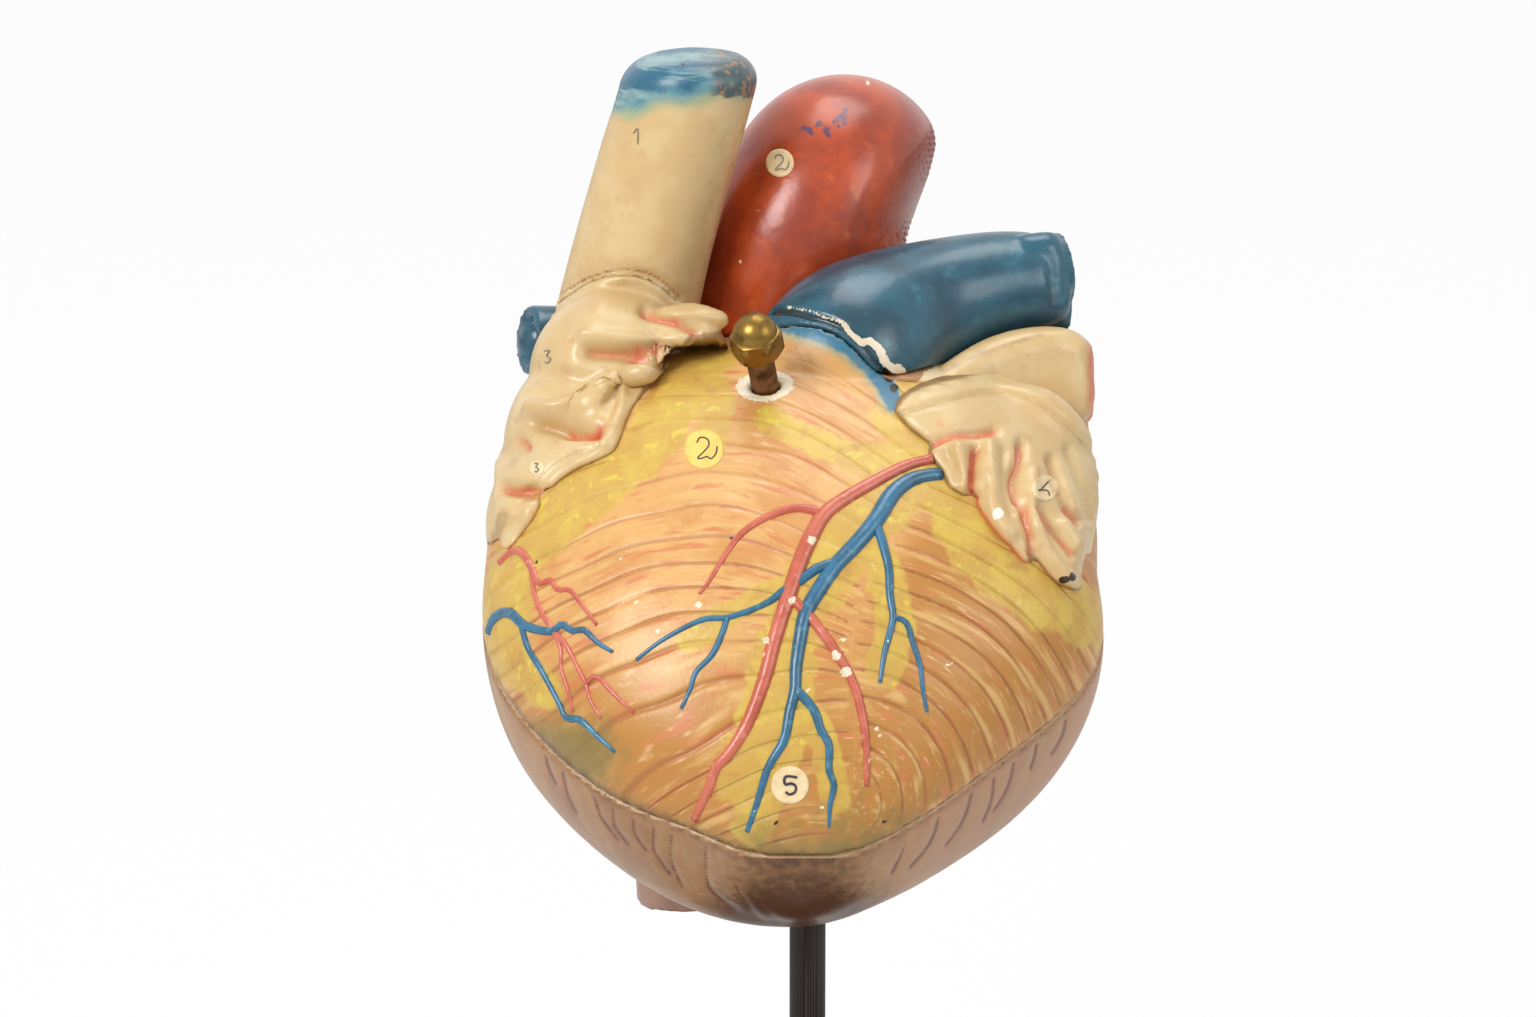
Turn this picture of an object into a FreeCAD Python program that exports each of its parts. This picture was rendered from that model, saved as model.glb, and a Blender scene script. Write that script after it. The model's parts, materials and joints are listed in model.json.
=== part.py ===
import FreeCAD, Part
import os
from math import cos, sin, pi, radians, copysign
from FreeCAD import Vector, Rotation, Placement

# Human heart teaching model, about one and a quarter times life size, on a rod and turned base.
# All sizes are millimetres. Two frames are used:
#   upright: +Z up, the demonstrator at -Y, the base's underside on Z = 0, the rod on the Z axis.
#   lying:   the heart on its back. +X to the demonstrator's right, +Y to the great vessels,
#            +Z out through the front wall, with the parting plane at Z = 0.
# stand_up() tilts a lying shape and lifts it on to the rod.

# ---- driving dimensions ----
HEART_TILT = 30.0            # rise of the heart's long axis above the table, degrees
HEART_HEIGHT = 178.0         # middle of the parting plane above the table
SEAM_GAP = 0.35              # gap all round between the two castings
ZONE_REACH = 140.0           # how far the front zone reaches out along the stud

BASE_DIAMETER = 168.0
BASE_HEIGHT = 28.0
BASE_TOP_DIAMETER = 58.0
BAIZE_THICKNESS = 1.5        # cloth glued under the base, over the recess
BAIZE_MARGIN = 1.0
RECESS_DIAMETER = 34.0       # in the underside, for the nut that holds the rod
RECESS_DEPTH = 12.0
ROD_DIAMETER = 8.0
ROD_TOP = 166.0
TENON_DIAMETER = 6.0         # the rod's threaded lower end; its shoulder rests on the base
TENON_BOTTOM = 4.0
TENON_CLEARANCE = 0.25
WASHER_DIAMETER = 24.0
WASHER_THICKNESS = 1.6
ROD_NUT_FLATS = 10.0
ROD_NUT_HEIGHT = 5.0
RUNNING_CLEARANCE = 0.05     # radial, rod in its socket and stud in its threads
SOCKET_DIAMETER = 12.0
SOCKET_TOP = 170.0
SOCKET_BOTTOM = 100.0        # before the sleeve is trimmed flush with the underside

STUD_LEAN = 7.8              # lean of the stud from the parting plane's normal, degrees
STUD_DIAMETER = 6.0
STUD_EYE = (-9.4, 25.4, 40.5)  # where the stud leaves the front wall, lying frame
STUD_BARE = 10.5             # bare stud between the front wall and the nut
STUD_IN_NUT = 6.5
STUD_FOOT = -19.0            # lying height of the stud's inner end
STUD_HOLE_CLEARANCE = 0.30   # radial, stud in the front wall
NUT_FLATS = 10.0
NUT_HEX_HEIGHT = 5.5
NUT_DOME_RADIUS = 4.9
NUT_CHAMFER = 0.9
NUT_THREAD_DEPTH = 7.0
ANCHOR_DIAMETER = 11.0
ANCHOR_MOUTH = -6.0          # lying heights of the anchor's ends
ANCHOR_END = -36.0
ANCHOR_FLOOR = 3.0

DOWEL_PLACES = [(-2.0, -61.0), (57.0, 2.0), (4.0, -23.0)]   # lying X, Y
DOWEL_DIAMETER = 4.0
DOWEL_PROUD = 6.0
DOWEL_DEPTH = 7.0
DOWEL_CLEARANCE = 0.25       # radial, in the front casting

# Rings of the heart's outer form, from the apex to the base, lying frame:
# (Y, left edge, right edge, front height, rear height, fullness of the rear: 2 is an ellipse)
BODY_RINGS = [
    (-74.4, -8.5, 4.5, 0.8, -15.5, 2.1),
    (-73.6, -12.5, 8.0, 3.8, -18.8, 2.1),
    (-71.6, -17.5, 12.5, 7.0, -23.0, 2.1),
    (-68.0, -23.8, 18.0, 10.8, -28.0, 2.1),
    (-60.0, -39.0, 28.0, 18.5, -39.0, 2.1),
    (-46.0, -54.0, 42.5, 27.5, -49.0, 2.2),
    (-26.0, -66.5, 59.5, 36.5, -54.5, 2.4),
    (-2.0, -71.0, 64.0, 41.0, -54.0, 2.5),
    (20.0, -70.0, 64.0, 42.0, -51.0, 2.5),
    (40.0, -65.0, 60.0, 36.0, -46.0, 2.5),
    (58.0, -54.0, 49.0, 25.0, -37.0, 2.5),
    (68.0, -44.0, 36.0, 15.0, -28.0, 2.5),
]
FRONT_FULLNESS = 2.15
RING_START = radians(-50)    # where a ring starts, clear of every cut
RING_ARCS = 4                # arcs that a ring is divided into

# The front casting's upper edge, lying frame (X, Y): over the root of the upper hollow vein,
# round the pulmonary root and down over the left atrium.
TOP_SEAM = [
    (-90.0, 66.0), (-66.0, 64.0), (-55.0, 61.0), (-46.0, 58.0), (-37.0, 56.5), (-27.0, 57.0),
    (-19.0, 54.0), (-10.0, 48.5), (-3.0, 44.0), (5.0, 40.0), (13.0, 36.0), (19.5, 31.5),
    (28.0, 31.0), (41.0, 37.0), (52.0, 36.0), (62.0, 31.5), (90.0, 22.0),
]

# Chambers, lying frame: (centre, radii, turn about +Z in degrees)
RIGHT_VENTRICLE = ((-34.0, -14.0, -4.0), (21.0, 40.0, 33.0), 32.0)
LEFT_VENTRICLE = ((29.0, -12.0, -8.0), (17.0, 42.0, 28.0), -15.0)
RIGHT_ATRIUM = ((-44.0, 37.0, -6.0), (17.0, 20.0, 26.0), 0.0)
# The same of round bars with a ball at each end: (end, end, radius)
OUTFLOW_TRACT = ((-24.0, -6.0, 14.5), (-4.0, 18.0, 22.0), 12.0)
LEFT_ATRIUM = ((18.0, 49.0, -25.0), (38.0, 49.0, -25.0), 12.0)
# Ways between the chambers and into the aorta, lying frame: (centres, radii)
RIGHT_INLET = ([(-45.0, 34.0, -9.0), (-43.0, 4.0, -9.0)], [13.0, 13.0])
LEFT_INLET = ([(32.0, 46.0, -23.5), (40.0, 12.0, -15.0)], [8.5, 10.5])
VESTIBULE = ([(27.0, 6.0, -13.0), (14.0, 30.0, -15.0), (1.0, 46.5, -12.5)], [9.5, 9.0, 7.5])

# Lobes of the two auricles, lying frame: (centre, radii, turn about +Z in degrees)
RIGHT_AURICLE_LOBES = [
    ((-43.0, 45.0, 25.0), (18.5, 18.0, 19.5), 0.0),
    ((-51.0, 30.0, 17.0), (16.0, 23.0, 19.0), 0.0),
    ((-57.5, 13.0, 10.0), (13.0, 19.0, 17.0), 0.0),
    ((-62.0, -2.0, 4.0), (9.5, 13.0, 12.0), 0.0),
    ((-27.0, 43.0, 33.0), (10.0, 6.0, 10.0), 0.0),
    ((-33.0, 34.0, 31.0), (13.0, 6.5, 11.0), 20.0),
    ((-42.0, 24.0, 28.0), (12.0, 7.0, 12.0), 25.0),
]
LEFT_AURICLE_LOBES = [
    ((41.0, 29.0, 23.0), (22.0, 10.0, 13.0), -4.0),
    ((32.0, 17.0, 30.0), (7.0, 16.0, 9.5), 18.0),
    ((42.0, 12.0, 26.5), (7.0, 20.0, 9.5), 16.0),
    ((51.5, 12.0, 19.5), (7.0, 19.0, 10.0), 14.0),
    ((59.5, 14.0, 10.0), (6.5, 17.0, 11.0), 10.0),
]

# Great vessels, upright frame: centres of their sections, and the outer radius at each
UPPER_VEIN_PATH = [(-43.0, 41.0, 212.0), (-39.5, 42.0, 236.0), (-32.8, 42.0, 262.0), (-25.2, 42.0, 291.0)]
UPPER_VEIN_RADII = [17.0, 15.6, 15.0, 15.4]
UPPER_VEIN_RIM = 5.0         # rounding of the closed top
AORTA_PATH = [(3.0, 45.0, 188.0), (-4.0, 53.5, 210.0), (-7.0, 58.5, 229.0), (-1.0, 61.5, 246.3),
              (6.0, 68.5, 257.5), (10.5, 81.0, 257.0), (11.0, 93.0, 248.0), (8.5, 98.0, 238.0)]
AORTA_RADII = [13.0, 16.0, 20.0, 22.6, 22.8, 21.2, 17.6, 15.2]
PULMONARY_PATH = [(-3.0, 6.0, 208.0), (3.0, 20.0, 216.5), (9.5, 26.0, 227.0), (19.5, 35.0, 232.1),
                  (31.5, 42.0, 235.5), (44.0, 46.0, 237.5), (51.0, 47.5, 237.7)]
PULMONARY_RADII = [17.5, 20.0, 19.8, 17.2, 14.4, 12.9, 12.0]
LEFT_BRANCH_PATHS = [([(44.0, 46.0, 240.0), (58.0, 49.5, 242.0)], [8.4, 7.6]),
                     ([(44.0, 45.0, 233.5), (58.5, 47.0, 231.6)], [6.8, 4.8])]
RIGHT_BRANCH_PATH = [(27.0, 46.0, 232.0), (21.0, 66.0, 224.0), (4.0, 82.0, 217.0), (-18.0, 84.0, 215.0),
                     (-42.0, 78.0, 217.0), (-64.0, 70.0, 220.0)]
RIGHT_BRANCH_RADII = [11.0, 10.0, 9.0, 8.5, 8.2, 8.0]
LOWER_VEIN_PATH = [(-38.0, 38.0, 168.0), (-30.0, 38.0, 134.0), (-26.6, 38.0, 97.0)]
LOWER_VEIN_RADII = [13.0, 12.8, 12.2]
LEFT_VEIN_PATHS = [([(28.0, 50.0, 204.0), (46.0, 45.0, 218.0), (63.0, 38.5, 220.2)], [11.0, 9.0, 6.8]),
                   ([(30.0, 54.0, 190.0), (50.0, 60.0, 196.0), (65.0, 61.0, 199.0)], [10.0, 8.2, 6.8])]
RIGHT_VEIN_PATHS = [([(16.0, 60.0, 187.0), (-12.0, 76.0, 196.0), (-54.0, 77.0, 203.0)], [9.0, 8.2, 6.8]),
                    ([(14.0, 56.0, 176.0), (-16.0, 66.0, 179.0), (-54.0, 70.0, 182.0)], [9.0, 8.2, 6.8])]
ARTERY_WALL = 3.0
VEIN_WALL = 2.4
CAP_THICKNESS = 6.0          # closed top of the upper hollow vein

# Coronary vessels in relief, lying frame: (route as X, Y pairs, radius at each end)
LEFT_CORONARY = [
    ([(25.9, 4.9), (12.9, -5.0), (3.3, -12.0), (-4.2, -32.9), (-10.5, -51.0), (-19.0, -61.5), (-23.5, -66.0)],
     2.2, 1.1),
    ([(-4.2, -32.9), (4.2, -40.3), (10.0, -50.3), (12.0, -64.2)], 1.6, 0.9),
]
GREAT_VEIN = [
    ([(27.5, 1.2), (19.3, -4.2), (13.4, -14.5), (3.0, -29.5), (-2.1, -38.5), (-3.4, -51.0), (-9.4, -65.6)],
     2.4, 1.3),
    ([(6.4, -24.1), (-6.3, -32.1), (-20.0, -36.5), (-36.3, -40.3)], 1.6, 0.9),
    ([(13.4, -14.5), (17.2, -31.5), (23.0, -45.5)], 1.6, 0.9),
]
RIGHT_CORONARY = [
    ([(-63.0, -6.0), (-58.6, -15.0), (-54.0, -28.5), (-51.4, -40.0)], 1.6, 0.9),
    ([(-59.7, -11.3), (-54.7, -19.1), (-44.8, -31.3)], 1.3, 0.9),
]
SMALL_VEIN = [
    ([(-68.0, -13.0), (-58.3, -25.0), (-51.1, -30.1), (-41.4, -37.9)], 1.7, 0.9),
    ([(-60.5, -23.5), (-56.5, -35.0), (-48.8, -45.7), (-41.5, -53.5)], 1.4, 0.9),
]
# The same on the underside and back
CORONARY_SINUS = [([(60.0, -16.0), (44.0, 4.0), (18.0, 20.0), (-12.0, 22.0)], 2.6, 3.4)]
POSTERIOR_ARTERY = [([(-8.0, 14.0), (-7.0, -14.0), (-16.0, -38.0), (-12.0, -58.0)], 2.0, 1.1)]

# Valves, lying frame: (centre, direction of flow, ring radius, height, leaflets)
TRICUSPID = ((-44.0, 18.0, -9.0), (0.07, -1.0, 0.0), 12.9, 12.0, 3)
MITRAL = ((36.5, 27.0, -18.7), (0.22, -0.95, 0.24), 10.2, 11.0, 2)
AORTIC = ((-0.5, 53.0, -6.2), (-0.29, 0.75, 0.60), 12.2, 7.0, 3)
PULMONARY = ((7.0, 43.0, 27.0), (0.45, 0.77, 0.45), 16.6, 8.0, 3)
LEAFLET_THICKNESS = 1.2
LEAFLET_TAPER = 0.62         # mouth radius over ring radius
VALVE_SLIT = 2.0

# Papillary muscles, lying frame: foot in the wall, tip, and the radius at each
PAPILLARY = [
    ((-24.0, -42.0, -34.0), (-36.0, -14.0, -12.0), 7.0, 3.2),
    ((-50.0, -26.0, -32.0), (-48.0, -10.0, -12.0), 6.0, 3.0),
    ((20.0, -44.0, -34.0), (32.0, -8.0, -16.0), 7.0, 3.4),
    ((38.0, -36.0, -34.0), (42.0, -6.0, -16.0), 6.0, 3.2),
]
CORD_DIAMETER = 1.2
CORD_FAN = 5.0               # how far apart the cords of one muscle reach its valve


def power(value, exponent):
    """Signed power, so that a superellipse keeps its quadrants."""
    return copysign(abs(value) ** exponent, value)


def egg_ring(y, left, right, front, rear, rear_fullness, points=16):
    """Closed smooth ring in the plane Y = y, a superellipse with its own front and rear."""
    middle = (left + right) / 2
    half = (right - left) / 2
    corners = []
    for i in range(points):
        angle = RING_START + 2 * pi * i / points
        fullness = FRONT_FULLNESS if sin(angle) >= 0 else rear_fullness
        reach = front if sin(angle) >= 0 else -rear
        corners.append(Vector(middle + half * power(cos(angle), 2 / fullness), y,
                              reach * power(sin(angle), 2 / fullness)))
    curve = Part.BSplineCurve()
    curve.interpolate(Points=corners, PeriodicFlag=True, Parameters=list(range(points + 1)))
    stops = [points * i / RING_ARCS for i in range(RING_ARCS + 1)]
    return Part.Wire([curve.toShape(a, b) for a, b in zip(stops, stops[1:])])


def heart_form():
    """The outer form of the two castings together: rounded at the apex, flat at the base."""
    return Part.makeLoft([egg_ring(*ring) for ring in BODY_RINGS], True, False)


UPRIGHT = Placement(Vector(0, 0, HEART_HEIGHT), Rotation(Vector(1, 0, 0), HEART_TILT))


def stand_up(shape):
    """Take a shape from the lying frame to the upright frame."""
    placed = shape.copy()
    placed.Placement = UPRIGHT.multiply(shape.Placement)
    return placed


def lie_down(shape):
    """Take a shape from the upright frame to the lying frame."""
    placed = shape.copy()
    placed.Placement = UPRIGHT.inverse().multiply(shape.Placement)
    return placed


# Direction of the stud and of the front casting's travel, lying frame.
LIFT = Vector(-sin(radians(STUD_LEAN)), 0, cos(radians(STUD_LEAN)))


def along_stud(height):
    """Point of the stud's axis at a lying height."""
    eye = Vector(*STUD_EYE)
    return eye + LIFT * ((height - eye.z) / LIFT.z)


def on_stud(shape, start):
    """Set a shape made about +Z on the stud's axis, its zero at the point start."""
    placed = shape.copy()
    placed.Placement = Placement(start, Rotation(Vector(0, 0, 1), LIFT))
    return placed


def ellipsoid(centre, radii, turn=0.0):
    """Ellipsoid with its axes on the frame's, turned about +Z by turn degrees."""
    matrix = FreeCAD.Matrix()
    matrix.scale(Vector(*radii))
    ball = Part.makeSphere(1.0)
    ball.rotate(Vector(0, 0, 0), Vector(0, 0, 1), 45)
    stretched = ball.transformGeometry(matrix)
    stretched.rotate(Vector(0, 0, 0), Vector(0, 0, 1), turn)
    stretched.translate(Vector(*centre))
    return stretched


def capsule(start, end, radius):
    """Round bar with a ball at each end."""
    start, end = Vector(*start), Vector(*end)
    reach = end - start
    ends = [Part.makeSphere(radius, centre, reach) for centre in (start, end)]
    return Part.makeCylinder(radius, reach.Length, start, reach).fuse(ends)


def tangents(points):
    """Unit direction of a smooth path at each of its points."""
    ends = [points[0]] + points + [points[-1]]
    return [(after - before).normalize() for before, after in zip(ends, ends[2:])]


def tube(path, radii, grow=0.0, run_on=0.0, last_direction=None):
    """Solid through round sections along a path; grow widens them, run_on lengthens both ends."""
    points = [Vector(*p) for p in path]
    directions = tangents(points)
    if last_direction:
        directions[-1] = last_direction
    points[0] = points[0] - directions[0] * run_on
    points[-1] = points[-1] + directions[-1] * run_on
    rings = [Part.Wire([Part.Circle(p, d, r + grow).toShape()])
             for p, d, r in zip(points, directions, radii)]
    return Part.makeLoft(rings, True, False)


def rod(start, end, radius):
    """Round bar between two points."""
    reach = Vector(*end) - Vector(*start)
    return Part.makeCylinder(radius, reach.Length, Vector(*start), reach)


def turned(profile):
    """Solid of revolution about +Z from (radius, height) corners."""
    face = Part.Face(Part.makePolygon([Vector(r, 0, z) for r, z in profile + profile[:1]]))
    return face.revolve(Vector(0, 0, 0), Vector(0, 0, 1), 360)


def hexagon(flats, height):
    """Hexagonal prism on Z = 0."""
    corner = flats / 2 / cos(pi / 6)
    corners = [Vector(corner * cos(pi * i / 3), corner * sin(pi * i / 3), 0) for i in range(7)]
    return Part.Face(Part.makePolygon(corners)).extrude(Vector(0, 0, height))


def carve(shape, tools):
    """Cut tools from a shape one after another, leaving out those that are clear of it."""
    for tool in tools:
        if shape.BoundBox.intersect(tool.BoundBox):
            shape = shape.cut(tool)
    return shape


def only(shape):
    """The largest solid of a shape, without the crumbs of a cut."""
    return max(shape.Solids, key=lambda solid: solid.Volume)


def pieces(shape, smallest=2.0):
    """All the solids of a shape but the crumbs of a cut, as one compound."""
    solids = [solid for solid in shape.Solids if solid.Volume > smallest]
    return solids[0] if len(solids) == 1 else Part.makeCompound(solids)


def top_edge(shape):
    """The edge that lies highest."""
    return max(shape.Edges, key=lambda edge: edge.BoundBox.ZMin)


def front_zone(shift=0.0):
    """Everything that belongs to the front casting: above the parting plane, below the top seam.
    shift draws it back from the plane and the seam."""
    edge = Part.BSplineCurve()
    edge.interpolate([Vector(x, y - shift, shift) for x, y in TOP_SEAM])
    left, right = TOP_SEAM[0], TOP_SEAM[-1]
    corners = [Vector(right[0], right[1] - shift, shift), Vector(right[0], -100, shift),
               Vector(left[0], -100, shift), Vector(left[0], left[1] - shift, shift)]
    face = Part.Face(Part.Wire([edge.toShape()] + Part.makePolygon(corners).Edges))
    return face.extrude(LIFT * ZONE_REACH)


def chambers():
    """The hollows of the four chambers and the ways between them, lying frame, the way to the
    aorta first."""
    rooms = [ellipsoid(*room) for room in (RIGHT_VENTRICLE, LEFT_VENTRICLE, RIGHT_ATRIUM)]
    inlets = [tube(*RIGHT_INLET), tube(*LEFT_INLET)]
    return [tube(*VESTIBULE)] + rooms + inlets + [capsule(*LEFT_ATRIUM), capsule(*OUTFLOW_TRACT)]


def many_tubes(paths, grow=0.0, run_on=0.0):
    """Several tubes as one shape."""
    made = [tube(path, radii, grow, run_on) for path, radii in paths]
    return made[0].fuse(made[1:])


def upper_vein(grow=0.0):
    """The upper hollow vein, level at its top; its hollow stops below the closed end."""
    path, radii = UPPER_VEIN_PATH, UPPER_VEIN_RADII
    if grow:
        top = Vector(*path[-1]) - Vector(0, 0, CAP_THICKNESS)
        return tube(path[:-1] + [tuple(top)], radii, grow, 0, Vector(0, 0, 1))
    body = tube(path, radii, 0, 0, Vector(0, 0, 1))
    return body.makeFillet(UPPER_VEIN_RIM, [top_edge(body)])


def great_vessels():
    """Outer and inner solids of each great vessel, lying frame."""
    outer = {
        "pulmonary_trunk": tube(PULMONARY_PATH, PULMONARY_RADII).fuse(many_tubes(LEFT_BRANCH_PATHS)),
        "aorta": tube(AORTA_PATH, AORTA_RADII),
        "superior_vena_cava": upper_vein(),
        "right_pulmonary_artery": tube(RIGHT_BRANCH_PATH, RIGHT_BRANCH_RADII),
        "inferior_vena_cava": tube(LOWER_VEIN_PATH, LOWER_VEIN_RADII),
        "left_pulmonary_veins": many_tubes(LEFT_VEIN_PATHS),
        "right_pulmonary_veins": many_tubes(RIGHT_VEIN_PATHS),
    }
    bores = {
        "pulmonary_trunk": tube(PULMONARY_PATH, PULMONARY_RADII, -ARTERY_WALL).fuse(
            many_tubes(LEFT_BRANCH_PATHS, -VEIN_WALL, 1)),
        "aorta": tube(AORTA_PATH, AORTA_RADII, -ARTERY_WALL, 1),
        "superior_vena_cava": upper_vein(-ARTERY_WALL),
        "right_pulmonary_artery": tube(RIGHT_BRANCH_PATH, RIGHT_BRANCH_RADII, -VEIN_WALL, 1),
        "inferior_vena_cava": tube(LOWER_VEIN_PATH, LOWER_VEIN_RADII, -VEIN_WALL, 1),
        "left_pulmonary_veins": many_tubes(LEFT_VEIN_PATHS, -VEIN_WALL, 1),
        "right_pulmonary_veins": many_tubes(RIGHT_VEIN_PATHS, -VEIN_WALL, 1),
    }
    return ({name: lie_down(shape) for name, shape in outer.items()},
            {name: lie_down(shape) for name, shape in bores.items()})


def skin_point(form, x, y, side):
    """Point of the form's surface over (x, y), in front (side 1) or behind (side -1)."""
    crossings = form.section(Part.makeLine(Vector(x, y, 0), Vector(x, y, side * 90))).Vertexes
    return max((vertex.Point for vertex in crossings), key=lambda point: side * point.z)


def slender_bar(points, radii):
    """Slender eight-sided tapering bar through points."""
    rings = []
    for point, direction, radius in zip(points, tangents(points), radii):
        turn = Rotation(Vector(0, 0, 1), direction)
        corners = [turn.multVec(Vector(radius * cos(pi * i / 4), radius * sin(pi * i / 4), 0)) + point
                   for i in range(9)]
        rings.append(Part.makePolygon(corners))
    return Part.makeLoft(rings, True, True)


def relief(form, routes, side=1):
    """Vessels in relief: tapered bars along routes on the form's surface, half sunk in it."""
    tubes = []
    for route, first, last in routes:
        points = [skin_point(form, x, y, side) for x, y in route]
        radii = [first + (last - first) * i / (len(points) - 1) for i in range(len(points))]
        tubes.append(slender_bar(points, radii))
    whole = tubes[0].fuse(tubes[1:]) if len(tubes) > 1 else tubes[0]
    return whole.cut(form)


def valve(centre, direction, ring, height, leaflets):
    """Valve of thin leaflets: a tapering funnel slit from its mouth, in its ring."""
    mouth = ring * LEAFLET_TAPER
    thick = LEAFLET_THICKNESS
    funnel = turned([(ring - thick, 0), (ring, 0), (mouth, height), (mouth - thick, height)])
    for i in range(leaflets):
        slit = Part.makeBox(ring * 1.2, VALVE_SLIT, height, Vector(0, -VALVE_SLIT / 2, height * 0.3))
        slit.rotate(Vector(0, 0, 0), Vector(0, 0, 1), 30 + 360 * i / leaflets)
        funnel = funnel.cut(slit)
    funnel.Placement = Placement(Vector(*centre), Rotation(Vector(0, 0, 1), Vector(*direction)))
    return funnel


def papillary_muscles(hollow):
    """Cones that stand up from the ventricles' walls, trimmed to the hollows that they stand in."""
    cones = [tube([foot, tip], [wide, narrow]).common(hollow) for foot, tip, wide, narrow in PAPILLARY]
    return Part.makeCompound([only(cone) for cone in cones])


def tendinous_cords():
    """Three cords from each papillary muscle's tip to the edge of its valve's leaflets."""
    cords = []
    for i, (foot, tip, wide, narrow) in enumerate(PAPILLARY):
        centre, direction, ring, height, leaflets = TRICUSPID if i < 2 else MITRAL
        mouth = Vector(*centre) + Vector(*direction).normalize() * height
        start = Vector(*tip)
        for side in (-1, 0, 1):
            end = mouth + Vector(side * CORD_FAN, 0, abs(side) * CORD_FAN / 2 - 2)
            cords.append(rod(start, end, CORD_DIAMETER / 2))
    return cords


def stud_parts():
    """The stud, its anchor and its cap nut, all on the stud's axis."""
    foot, eye = along_stud(STUD_FOOT), along_stud(STUD_EYE[2])
    nut_base = eye + LIFT * STUD_BARE
    stud_length = (nut_base - foot).Length + STUD_IN_NUT
    stud = Part.makeCylinder(STUD_DIAMETER / 2, stud_length)
    stud = stud.makeChamfer(0.6, [top_edge(stud)])
    thread = STUD_DIAMETER / 2 + RUNNING_CLEARANCE
    anchor_foot, anchor_mouth = along_stud(ANCHOR_END), along_stud(ANCHOR_MOUTH)
    anchor_length = (anchor_mouth - anchor_foot).Length
    anchor = Part.makeCylinder(ANCHOR_DIAMETER / 2, anchor_length)
    anchor = anchor.cut(Part.makeCylinder(thread, anchor_length, Vector(0, 0, ANCHOR_FLOOR)))
    nut = cap_nut().cut(Part.makeCylinder(thread, NUT_THREAD_DEPTH))
    return on_stud(stud, foot), on_stud(anchor, anchor_foot), on_stud(nut, nut_base)


def cap_nut():
    """Hexagon with its corners chamfered at both ends, a short neck and a round dome."""
    corner = NUT_FLATS / 2 / cos(pi / 6)
    cone_low = turned([(0, 0), (corner - NUT_CHAMFER, 0), (corner + 0.5, NUT_CHAMFER),
                       (corner + 0.5, NUT_HEX_HEIGHT - NUT_CHAMFER), (corner - NUT_CHAMFER, NUT_HEX_HEIGHT),
                       (0, NUT_HEX_HEIGHT)])
    body = hexagon(NUT_FLATS, NUT_HEX_HEIGHT).common(cone_low)
    dome = Part.makeSphere(NUT_DOME_RADIUS, Vector(0, 0, NUT_HEX_HEIGHT - 0.6))
    upper = Part.makeBox(20, 20, 20, Vector(-10, -10, NUT_HEX_HEIGHT - 1.5))
    return body.fuse(dome.common(upper)).removeSplitter()


def stand():
    """Base and its baize, rod, washer and nut, upright frame."""
    radius, top = BASE_DIAMETER / 2, BASE_TOP_DIAMETER / 2
    foot = [(0, BAIZE_THICKNESS), (radius, BAIZE_THICKNESS), (radius, 9), (radius - 3, 11.5),
            (radius - 6, 12), (radius - 6, 14)]
    cove = [(radius - 6 - (radius - 6 - top) * sin(pi / 2 * i / 8),
             14 + (BASE_HEIGHT - 4 - 14) * (1 - cos(pi / 2 * i / 8))) for i in range(1, 9)]
    crown = [(top, BASE_HEIGHT - 2), (top - 2, BASE_HEIGHT), (0, BASE_HEIGHT)]
    base = turned(foot + cove + crown)
    base = base.cut(Part.makeCylinder(RECESS_DIAMETER / 2, RECESS_DEPTH))
    base = base.cut(Part.makeCylinder(TENON_DIAMETER / 2 + TENON_CLEARANCE, BASE_HEIGHT))
    tenon = Part.makeCylinder(TENON_DIAMETER / 2, BASE_HEIGHT - TENON_BOTTOM, Vector(0, 0, TENON_BOTTOM))
    shank = Part.makeCylinder(ROD_DIAMETER / 2, ROD_TOP - BASE_HEIGHT, Vector(0, 0, BASE_HEIGHT))
    bore = Part.makeCylinder(TENON_DIAMETER / 2 + RUNNING_CLEARANCE, BASE_HEIGHT)
    washer = Part.makeCylinder(WASHER_DIAMETER / 2, WASHER_THICKNESS,
                               Vector(0, 0, RECESS_DEPTH - WASHER_THICKNESS)).cut(bore)
    nut = hexagon(ROD_NUT_FLATS, ROD_NUT_HEIGHT)
    nut.translate(Vector(0, 0, RECESS_DEPTH - WASHER_THICKNESS - ROD_NUT_HEIGHT))
    baize = Part.makeCylinder(radius - BAIZE_MARGIN, BAIZE_THICKNESS)
    return {"base_plinth": base, "base_baize": baize, "stand_rod": tenon.fuse(shank).removeSplitter(),
            "rod_washer": washer, "rod_nut": nut.cut(bore)}


def rod_socket(form):
    """Sleeve in the rear casting that turns on the rod, trimmed flush with the underside."""
    length = SOCKET_TOP - SOCKET_BOTTOM
    sleeve = Part.makeCylinder(SOCKET_DIAMETER / 2, length, Vector(0, 0, SOCKET_BOTTOM))
    bore = Part.makeCylinder(ROD_DIAMETER / 2 + RUNNING_CLEARANCE, ROD_TOP + 0.2 - SOCKET_BOTTOM,
                             Vector(0, 0, SOCKET_BOTTOM))
    return lie_down(sleeve).common(form), lie_down(sleeve.cut(bore)).common(form)


def dowels():
    """Dowels in the rear casting's face, and the holes that they need."""
    pins, holes = [], []
    for x, y in DOWEL_PLACES:
        foot = Vector(x, y, 0) - LIFT * DOWEL_DEPTH
        length = DOWEL_DEPTH + DOWEL_PROUD
        pin = Part.makeCylinder(DOWEL_DIAMETER / 2, length, foot, LIFT)
        pins.append(pin.makeChamfer(0.5, [top_edge(pin)]))
        holes.append(Part.makeCylinder(DOWEL_DIAMETER / 2 + DOWEL_CLEARANCE, length + 1, foot, LIFT))
    return pins, holes


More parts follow.
